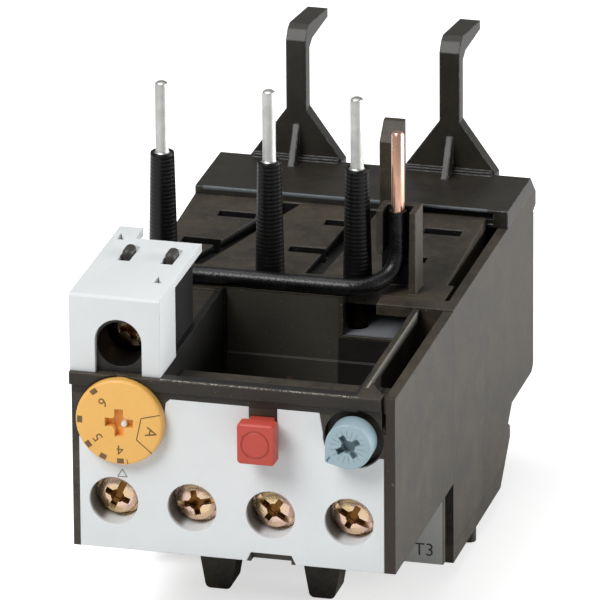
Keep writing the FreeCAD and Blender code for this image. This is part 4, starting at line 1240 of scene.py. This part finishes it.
@dataclass
class ResetKnob:
    """The blue reset knob with its pointer corner."""

    x: float = 16.85
    z: float = 19.2
    radius: float = 3.2
    front: float = -3.4
    back: float = -0.05
    rim: float = 0.26
    corner: Tuple[float, float] = (-3.2, -2.4)
    corner_radius: float = 0.2
    arms: Tuple[float, ...] = (32.0, 122.0, 208.0, 308.0)
    arm_start: float = 0.2
    reach: float = 1.75
    arm_width: float = 0.85
    arm_depth: float = 1.1
    pit_radius: float = 0.95
    pit_depth: float = 1.45
    rays: int = 18
    ray_start: float = 1.3
    ray_end: float = 2.35
    ray_width: float = 0.1
    ray_depth: float = 0.045
    first_ray: float = 7.0
    mark: Tuple[float, float] = (-2.7, -1.91)
    mark_length: float = 0.8
    mark_width: float = 0.22
    mark_depth: float = 0.2
    mark_lean: float = -58.0

    def outline(self) -> List[Tuple[float, float]]:
        """Draw the drum with the pointer corner tangent to it.

        Returns:
            The corners from the datum.
        """
        away = math.hypot(*self.corner)
        aim = math.atan2(self.corner[1], self.corner[0])
        core = away - self.corner_radius
        spread = math.acos((self.radius - self.corner_radius) / core)
        tip = (core * math.cos(aim), core * math.sin(aim))
        points = []
        start, sweep = aim + spread, 2 * math.pi - 2 * spread
        for step in range(73):
            angle = start + sweep * step / 72
            points.append((self.radius * math.cos(angle), self.radius * math.sin(angle)))
        for step in range(9):
            angle = aim - spread + 2 * spread * step / 8
            points.append((tip[0] + self.corner_radius * math.cos(angle),
                           tip[1] + self.corner_radius * math.sin(angle)))
        return [(self.x + x, self.z + z) for x, z in points]

    def bar(self, name: str, start: float, end: float, width: float, depth: float,
            angle: float) -> bpy.types.Object:
        """Make a bar that cuts a groove outwards from the middle of the face.

        Args:
            name: Its name.
            start: Where it starts, from the knob's middle.
            end: Where it ends.
            width: Its width.
            depth: The groove's depth.
            angle: Degrees from the right, clockwise.

        Returns:
            The bar.
        """
        bar = Bench.block(name, (self.x + start, self.front - 1, self.z - width / 2),
                          (self.x + end, self.front + depth, self.z + width / 2))
        return Bench.turn(bar, angle, (self.x, 0, self.z))

    def build(self) -> None:
        """Model the drum, its pointer corner, its recess and its rays."""
        middle = (self.x, self.z)
        drum = Bench.slab("reset_knob_drum", self.outline(), self.front, self.back)
        Bench.bevel(drum, rim_of(self.front), self.rim, 4)
        rays = [self.bar("ray", self.ray_start, self.ray_end, self.ray_width, self.ray_depth,
                         self.first_ray + number * 360.0 / self.rays) for number in range(self.rays)]
        Bench.cut(drum, Bench.merged(rays))
        for angle in self.arms:
            arm = self.bar("arm", self.arm_start, self.reach, self.arm_width, self.arm_depth, -angle)
            Bench.cut(drum, arm)
        pit = Bench.rod("pit", middle, self.pit_radius, self.front - 1, self.front + self.pit_depth,
                        sides=32)
        x, z = self.x + self.mark[0], self.z + self.mark[1]
        mark = Bench.block("mark", (x - self.mark_length / 2, self.front - 1, z - self.mark_width / 2),
                           (x + self.mark_length / 2, self.front + self.mark_depth,
                            z + self.mark_width / 2))
        Bench.turn(mark, self.mark_lean, (x, 0, z))
        Bench.cut(drum, pit, mark)
        # Store the recess depth, by which the knob's recess gets painted shade.
        Bench.hollow(drum, middle, self.radius + 0.4, self.front + 0.15, deepest=1.85)
        Bench.smooth(drum)
        Bench.ride(drum, "reset_knob", Finish.BLUE, "blue_plastic", ("reset_knob",))


@dataclass
class TerminalScrews:
    """The eight terminal screws, modelled once and copied."""

    head: float = 2.8
    thick: float = 2.2
    rim: float = 0.12
    dome: Tuple[Tuple[float, float], ...] = (
        (0.0, 0.0), (0.8, 0.02), (1.5, 0.09), (2.05, 0.21), (2.45, 0.4), (2.7, 0.66))
    dome_depth: float = 0.95
    shank: float = 1.42
    length: float = 9.4
    pitch: float = 0.5
    thread: float = 0.22
    slot: float = 0.9
    slot_depth: float = 0.85
    arm: float = 1.8
    arm_width: float = 0.84
    arm_depth: float = 1.25
    pit_radius: float = 0.95
    pit_depth: float = 1.4
    coil: Tuple[float, float, float, float] = (-15.7, 6.8, 29.3, 80.0)
    load_depth: float = 28.3
    load_height: float = -4.9
    load_turns: Tuple[Tuple[float, float], ...] = ((-16.0, 20.0), (-1.9, 75.0), (13.2, -35.0))
    aux_depth: float = 1.7
    aux_height: float = 6.95
    aux_turns: Tuple[float, ...] = (-65.0, -11.5, 35.5, 27.0)

    def outline(self) -> List[Tuple[float, float]]:
        """Draw half of the screw: its domed head, its thread and its point.

        Returns:
            Points as (radius, depth).
        """
        points = [*self.dome, (self.head, self.dome_depth), (self.head, self.thick - self.rim),
                  (self.head - self.rim, self.thick), (self.shank, self.thick)]
        root = self.shank - self.thread
        turn = self.thick + 0.15
        while turn < self.length - 0.9:
            points += [(self.shank, turn), (root, turn + self.thread),
                       (root, turn + self.thread + 0.06), (self.shank, turn + self.pitch)]
            turn += self.pitch
        return points + [(self.shank, self.length - 0.5), (self.shank - 0.5, self.length),
                         (0.0, self.length)]

    def pattern(self) -> bpy.types.Object:
        """Model one screw at the datum with its head's face at depth 0.

        Returns:
            The screw.
        """
        screw = Bench.spun("screw_pattern", self.outline(), (0, 0, 0), Axis.BACK, 72)
        slit = Bench.block("slit", (-self.head - 1, -1, -self.slot / 2),
                           (self.head + 1, self.slot_depth, self.slot / 2))
        cross = Bench.cross((0, 0), self.arm, self.arm_width, 0, self.arm_depth)
        pit = Bench.rod("pit", (0, 0), self.pit_radius, -1, self.pit_depth, sides=24)
        Bench.cut(screw, slit, *cross, pit)
        # Store the recess depth, by which the screw recess gets painted shade.
        Bench.hollow(screw, (0, 0), self.head - self.rim, 0.4, 0.35, deepest=1.1)
        Bench.smooth(screw, 28)
        return screw

    def places(self) -> List[Tuple[str, Place, float]]:
        """Say where each screw goes.

        Returns:
            The node, the middle of the head's face and the slot's turn in degrees, for each.
        """
        *coil, turn = self.coil
        found = [("coil_screw", tuple(coil), turn)]
        for number, (x, turn) in enumerate(self.load_turns, 1):
            found.append((f"load_screw_t{number}", (x, self.load_depth, self.load_height), turn))
        for number, (x, turn) in enumerate(zip(AUX_SCREW_XS, self.aux_turns), 1):
            found.append((f"aux_screw_{number}", (x, self.aux_depth, self.aux_height), turn))
        return found

    def build(self) -> None:
        """Copy the screw to every terminal."""
        pattern = self.pattern()
        for node, place, turn in self.places():
            screw = Bench.copied(pattern, node + "_threaded")
            Bench.turn(screw, turn, (0, 0, 0))
            Bench.shift(screw, place)
            Bench.ride(screw, node, Finish.ZINC, "yellow_zinc_steel", (node,))
        bpy.data.objects.remove(pattern)


@dataclass
class ContactPins:
    """The three tinned pins and their rubbery sleeves."""

    xs: Tuple[float, ...] = (-19.9, -4.75, 7.65)
    y: float = 38.5
    foot: float = 25.5
    sleeve_top: float = 42.9
    sleeve_radius: float = 2.05
    taper: float = 0.4
    bore: float = 1.23
    rings: int = 30
    pin_foot: float = 14.0
    pin_top: float = 53.1
    root_radius: float = 1.2
    pin_radius: float = 0.92
    shade: float = 25.7

    def build(self) -> None:
        """Model each sleeve with its fine rings and each pin with its domed end."""
        for number, x in enumerate(self.xs, 1):
            self.sleeve(number, x)
            self.pin(number, x)

    def sleeve(self, number: int, x: float) -> None:
        """Model one sleeve.

        Args:
            number: Its number, from the left.
            x: Its place across the deck.
        """
        height = self.sleeve_top - self.foot
        outline = [(self.bore, 0.0), (self.sleeve_radius, 0.0)]
        for ring in range(self.rings):
            low = height * (ring + 0.04) / self.rings
            high = height * (ring + 0.9) / self.rings
            radius = self.sleeve_radius - self.taper * ring / self.rings
            outline += [(radius, low), (radius - 0.01, high - 0.2), (radius - 0.05, high)]
        top = self.sleeve_radius - self.taper
        outline += [(top - 0.02, height - 0.25), (top - 0.13, height), (self.bore + 0.03, height),
                    (self.bore, height - 0.6), (self.bore, 0.0)]
        sleeve = Bench.spun(f"pin_sleeve_l{number}_ringed", outline, (x, self.y, self.foot))
        Bench.smooth(sleeve, 50)
        Bench.ride(sleeve, "housing", Finish.SLEEVE, "cable_sheath", (f"pin_sleeve_l{number}",))

    def pin(self, number: int, x: float) -> None:
        """Model one pin, which is in the dark below the deck.

        Args:
            number: Its number, from the left.
            x: Its place across the deck.
        """
        shade, neck = self.shade - self.pin_foot, self.sleeve_top - self.pin_foot
        top = self.pin_top - self.pin_foot
        outline = [(0.0, 0.0), (self.root_radius, 0.0), (self.root_radius, shade - 0.1),
                   (self.root_radius, shade + 0.1), (self.root_radius, neck - 0.15),
                   (self.pin_radius + 0.06, neck), (self.pin_radius, neck + 0.2),
                   (self.pin_radius, top - 0.55), (self.pin_radius - 0.08, top - 0.2),
                   (self.pin_radius - 0.32, top - 0.02), (0.0, top)]
        pin = Bench.spun(f"contact_pin_l{number}_domed", outline, (x, self.y, self.pin_foot), steps=40)
        # Below the shade height the pin takes the metal's deep colour: painted shade.
        store = pin.data.attributes.new("recess", "FLOAT", "POINT")
        level = DATUM.at(0, 0, self.shade).z
        for point, item in zip(pin.data.vertices, store.data):
            item.value = 1.0 if point.co.z < level else 0.0
        Bench.smooth(pin, 40)
        Bench.ride(pin, "housing", Finish.TIN, "tinned_copper", (f"contact_pin_l{number}",))


@dataclass
class CoilLead:
    """The lead from the coil terminal round the wall's top and up to its bare end."""

    diameter: float = 2.4
    exit: Place = (-18.4, 20.9, 26.73)
    post: Tuple[float, float] = (13.25, 39.0)
    top: float = 37.0
    copper: float = 0.9
    copper_chamfer: float = 0.25
    copper_root: float = 2.0
    copper_end: float = 48.4

    def route(self) -> List[Place]:
        """Give the route's own points.

        Returns:
            The points, from the datum.
        """
        return [(-18.4, 20.4, 26.73), (-18.4, 27.6, 26.73), (-18.4, 34.2, 26.73),
                (-14.6, 34.9, 26.73), (-6.0, 34.9, 26.73), (4.0, 34.9, 26.73), (9.3, 34.9, 26.73),
                (12.2, 37.8, 27.6), (*self.post, 29.9), (*self.post, 33.0), (*self.post, self.top)]

    def build(self) -> None:
        """Model the sheathed lead as a curve and the bare copper as a rod."""
        curve = bpy.data.curves.new("coil_lead", "CURVE")
        curve.dimensions = "3D"
        spline = curve.splines.new("NURBS")
        route = self.route()
        spline.points.add(len(route) - 1)
        for point, place in zip(spline.points, route):
            point.co = (*DATUM.at(*place), 1.0)
        spline.order_u = 3
        spline.use_endpoint_u = True
        spline.resolution_u = 12
        curve.bevel_depth = self.diameter / 2 * MM
        curve.bevel_resolution = 8
        curve.use_fill_caps = True
        lead = bpy.data.objects.new("coil_lead", curve)
        bpy.context.scene.collection.objects.link(lead)
        PAINT.coat(lead, Finish.SHEATH)
        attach(lead, "housing")
        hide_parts("lead_insulation", "lead_conductor")
        reach = self.copper_end - self.top + self.copper_root
        outline = [(0.0, 0.0), (self.copper, 0.0), (self.copper, reach - 0.4),
                   (self.copper - self.copper_chamfer, reach), (0.0, reach)]
        wire = Bench.spun("coil_lead_copper", outline, (*self.post, self.top - self.copper_root), steps=40)
        Bench.smooth(wire)
        Bench.ride(wire, "housing", Finish.COPPER, "bare_copper")
        DATUM.at(*self.exit)


@dataclass
class PaleParts:
    """The pale front panel and the pale shroud with its two pegs, with their edges eased."""

    panel_edge: float = 0.22
    panel_least: float = 0.9
    shroud_edge: float = 0.3
    shroud_least: float = 1.2
    peg_xs: Tuple[float, ...] = (-18.6, -12.6)
    peg_width: float = 1.48
    peg_front: float = 15.0
    peg_back: float = 17.9
    peg_foot: float = 33.6
    peg_top: float = 37.3
    peg_round: float = 0.66

    def build(self) -> None:
        """Model both as eased copies and put the pegs in the shroud's slots."""
        for node, edge, least in (("front_panel", self.panel_edge, self.panel_least),
                                  ("coil_shroud", self.shroud_edge, self.shroud_least)):
            piece = Bench.carried(node, node + "_eased")
            Bench.ease(piece, edge, least, 3)
            Bench.smooth(piece)
            Bench.ride(piece, "housing", Finish.PALE, "pale_plastic", (node,))
        for number, x in enumerate(self.peg_xs, 1):
            self.peg(number, x)

    def peg(self, number: int, x: float) -> None:
        """Model one dark peg with a rounded top.

        Args:
            number: Its number, from the left.
            x: Its place across the shroud.
        """
        peg = Bench.block(f"coil_box_peg_{number}", (x - self.peg_width / 2, self.peg_front, self.peg_foot),
                          (x + self.peg_width / 2, self.peg_back, self.peg_top))
        top = DATUM.at(0, 0, self.peg_top).z
        Bench.bevel(peg, lambda e: max(v.co.z for v in e.verts) > top - 1e-6, self.peg_round, 5)
        Bench.smooth(peg, 60)
        Bench.ride(peg, "housing", Finish.PEG, "black_plastic")


@dataclass
class DeckCover:
    """The deck with eased edges and painted shade in its slots and grooves."""

    edge: float = 0.1
    least: float = 1.2
    slope_front: float = 41.8
    slope_back: float = 64.9
    level: float = 25.5
    rise: float = 1.4
    grooved_x: Tuple[float, float] = (-21.0, 19.2)
    grooved_y: Tuple[float, float] = (36.6, 64.8)
    sunk: Tuple[float, float] = (0.35, 3.4)
    post: float = 13.35
    channel: float = 3.8
    channel_y: Tuple[float, float] = (36.0, 41.0)
    channel_foot: float = 25.6
    channel_rise: float = 11.8

    def dark(self, x: float, y: float, z: float) -> bool:
        """Tell whether a face lies in a slot, in a groove or in the post's channel.

        Args:
            x: Its middle, from the datum in millimetres.
            y: Its depth.
            z: Its height.

        Returns:
            Whether it does.
        """
        share = min(1.0, max(0.0, (y - self.slope_front) / (self.slope_back - self.slope_front)))
        below = self.level + self.rise * share - z
        if self.sunk[0] < below < self.sunk[1]:
            return self.grooved_x[0] < x < self.grooved_x[1] and self.grooved_y[0] < y < self.grooved_y[1]
        beside = abs(x - self.post) < self.channel / 2 and self.channel_y[0] < y < self.channel_y[1]
        return beside and z > self.channel_foot and below > -self.channel_rise

    def build(self) -> None:
        """Model the deck as an eased copy and mark what lies below its face."""
        deck = Bench.carried("deck_cover", "deck_cover_eased")
        Bench.ease(deck, self.edge, self.least, 1)
        # Faces in the slots, grooves and channel take the finish's deep colour: painted shade.
        store = deck.data.attributes.new("recess", "FLOAT", "FACE")
        for face, item in zip(deck.data.polygons, store.data):
            item.value = float(self.dark(*((face.center - DATUM.at(0, 0, 0)) / MM)))
        Bench.smooth(deck)
        Bench.ride(deck, "housing", Finish.BLACK, "black_plastic", ("deck_cover",))


@dataclass
class Markings:
    """Small prints on the panel and the terminal block."""

    pointer: Tuple[Tuple[float, float], ...] = (
        (-16.0, 10.55), (-15.35, 11.65), (-14.7, 10.55), (-16.0, 10.55))
    pointer_line: float = 0.13
    pointer_face: float = -0.005
    mark_height: float = 1.9
    mark_place: Place = (19.8, 26.79, -7.65)

    def build(self) -> None:
        """Print the setting pointer and the terminal mark."""
        for number, (start, end) in enumerate(zip(self.pointer, self.pointer[1:]), 1):
            line = SettingDial.stroke(f"panel_pointer_{number}", start, end, self.pointer_line,
                                      self.pointer_face)
            Bench.ride(line, "housing", Finish.GREY_INK, "pale_plastic")
        mark = Bench.lettering("terminal_mark_t3", "T3", self.mark_height, self.mark_place)
        Bench.ride(mark, "housing", Finish.DARK_INK, "black_plastic")


# ---------------------------------------------------------------- studio
@dataclass(frozen=True)
class Lamp:
    """One soft lamp: its place, aim and size in metres and its power in watts."""

    name: str
    place: Place
    aim: Place
    size: Tuple[float, float]
    power: float

    def hang(self) -> None:
        """Hang the lamp."""
        light = bpy.data.lights.new(self.name, "AREA")
        light.shape = "RECTANGLE"
        light.size, light.size_y = self.size
        light.energy = self.power
        lamp = bpy.data.objects.new(self.name, light)
        bpy.context.scene.collection.objects.link(lamp)
        lamp.location = self.place
        lamp.rotation_euler = (Vector(self.aim) - lamp.location).to_track_quat("-Z", "Y").to_euler()


@dataclass
class Studio:
    """Pale floor, soft lamps and the camera."""

    floor_size: float = 6.0
    floor_drop: float = 0.0002
    floor_glow: float = 0.62
    room_light: float = 0.22
    lamps: Tuple[Lamp, ...] = (
        Lamp("key", (-0.45, -0.75, 0.95), (0, 0, 0.03), (0.6, 0.6), 11.6),
        Lamp("right_box", (0.9, 0.25, 0.16), (0, 0, 0.03), (0.8, 0.3), 8.0),
        Lamp("overhead", (-0.25, 0.1, 1.2), (0, 0, 0.0), (0.9, 0.9), 5.0))
    aim: Place = (0.0, 35.0, 10.0)

    azimuth: float = 14.67
    elevation: float = 21.91
    roll: float = -0.42
    distance: float = 1347.0
    lens: float = 587.9
    pan_up: float = 0.5613
    pan_right: float = 0.0111

    def floor(self) -> None:
        """Lay a wide pale floor that keeps the object's shadow."""
        bpy.ops.object.select_all(action="DESELECT")
        bpy.ops.mesh.primitive_plane_add(size=self.floor_size, location=(0, 0, -self.floor_drop))
        plane = bpy.context.object
        plane.name = "studio_floor"
        recipe = Recipe("studio_floor")
        path = recipe.add("ShaderNodeLightPath", out="Is Camera Ray")
        glow = recipe.mix(path, (0.0, 0.0, 0.0), (1.0, 1.0, 1.0))
        plane.data.materials.append(recipe.finish(Base_Color=srgb(236, 236, 236), Roughness=0.9,
                                                  Emission_Color=glow,
                                                  Emission_Strength=self.floor_glow))
        LOG.info("floor laid")

    def world(self) -> None:
        """Light the room evenly, white behind the object."""
        world = bpy.data.worlds.new("studio")
        bpy.context.scene.world = world
        world.use_nodes = True
        tree = world.node_tree
        tree.nodes.clear()
        out = tree.nodes.new("ShaderNodeOutputWorld")
        back = tree.nodes.new("ShaderNodeBackground")
        back.inputs["Color"].default_value = (1, 1, 1, 1)
        path = tree.nodes.new("ShaderNodeLightPath")
        strength = tree.nodes.new("ShaderNodeMapRange")
        strength.inputs["To Min"].default_value = self.room_light
        strength.inputs["To Max"].default_value = 1.0
        tree.links.new(path.outputs["Is Camera Ray"], strength.inputs["Value"])
        tree.links.new(strength.outputs[0], back.inputs["Strength"])
        tree.links.new(back.outputs[0], out.inputs[0])

    def camera(self) -> None:
        """Set the camera, which looks at its aim and is then rolled and panned."""
        a, e = math.radians(self.azimuth), math.radians(self.elevation)
        back = Vector((math.sin(a) * math.cos(e), -math.cos(a) * math.cos(e), math.sin(e)))
        right = Vector((math.cos(a), math.sin(a), 0.0))
        up = back.cross(right)
        aim = DATUM.at(*self.aim)
        turned = Matrix((right, up, back)).transposed().to_4x4()
        turned = turned @ Matrix.Rotation(math.radians(self.roll), 4, "Z")
        turned = turned @ Matrix.Rotation(math.radians(self.pan_up), 4, "X")
        turned = turned @ Matrix.Rotation(math.radians(-self.pan_right), 4, "Y")
        data = bpy.data.cameras.new("camera")
        data.lens = self.lens
        data.sensor_width = 36.0
        data.clip_start = 0.2
        data.clip_end = 20.0
        camera = bpy.data.objects.new("camera", data)
        bpy.context.scene.collection.objects.link(camera)
        camera.matrix_world = Matrix.Translation(aim + back * self.distance * MM) @ turned
        bpy.context.scene.camera = camera

    def build(self) -> None:
        """Set up the room."""
        self.floor()
        self.world()
        for lamp in self.lamps:
            lamp.hang()
        bpy.context.scene.view_settings.view_transform = "Standard"
        self.camera()


def main() -> None:
    """Dress the frame, model the finer pieces and set up the studio."""
    logging.basicConfig(level=logging.INFO)
    bpy.ops.object.select_all(action="DESELECT")
    for dressing in DRESSINGS:
        for node in dressing.nodes:
            PAINT.dress(node, dressing.finish)
    for piece in (PaleParts(), SettingDial(), TestButton(), ResetKnob(), TerminalScrews(),
                  ContactPins(), CoilLead(), DeckCover(), Markings(), Studio()):
        LOG.info("building %s", type(piece).__name__)
        piece.build()


if __name__ == "__main__":
    main()
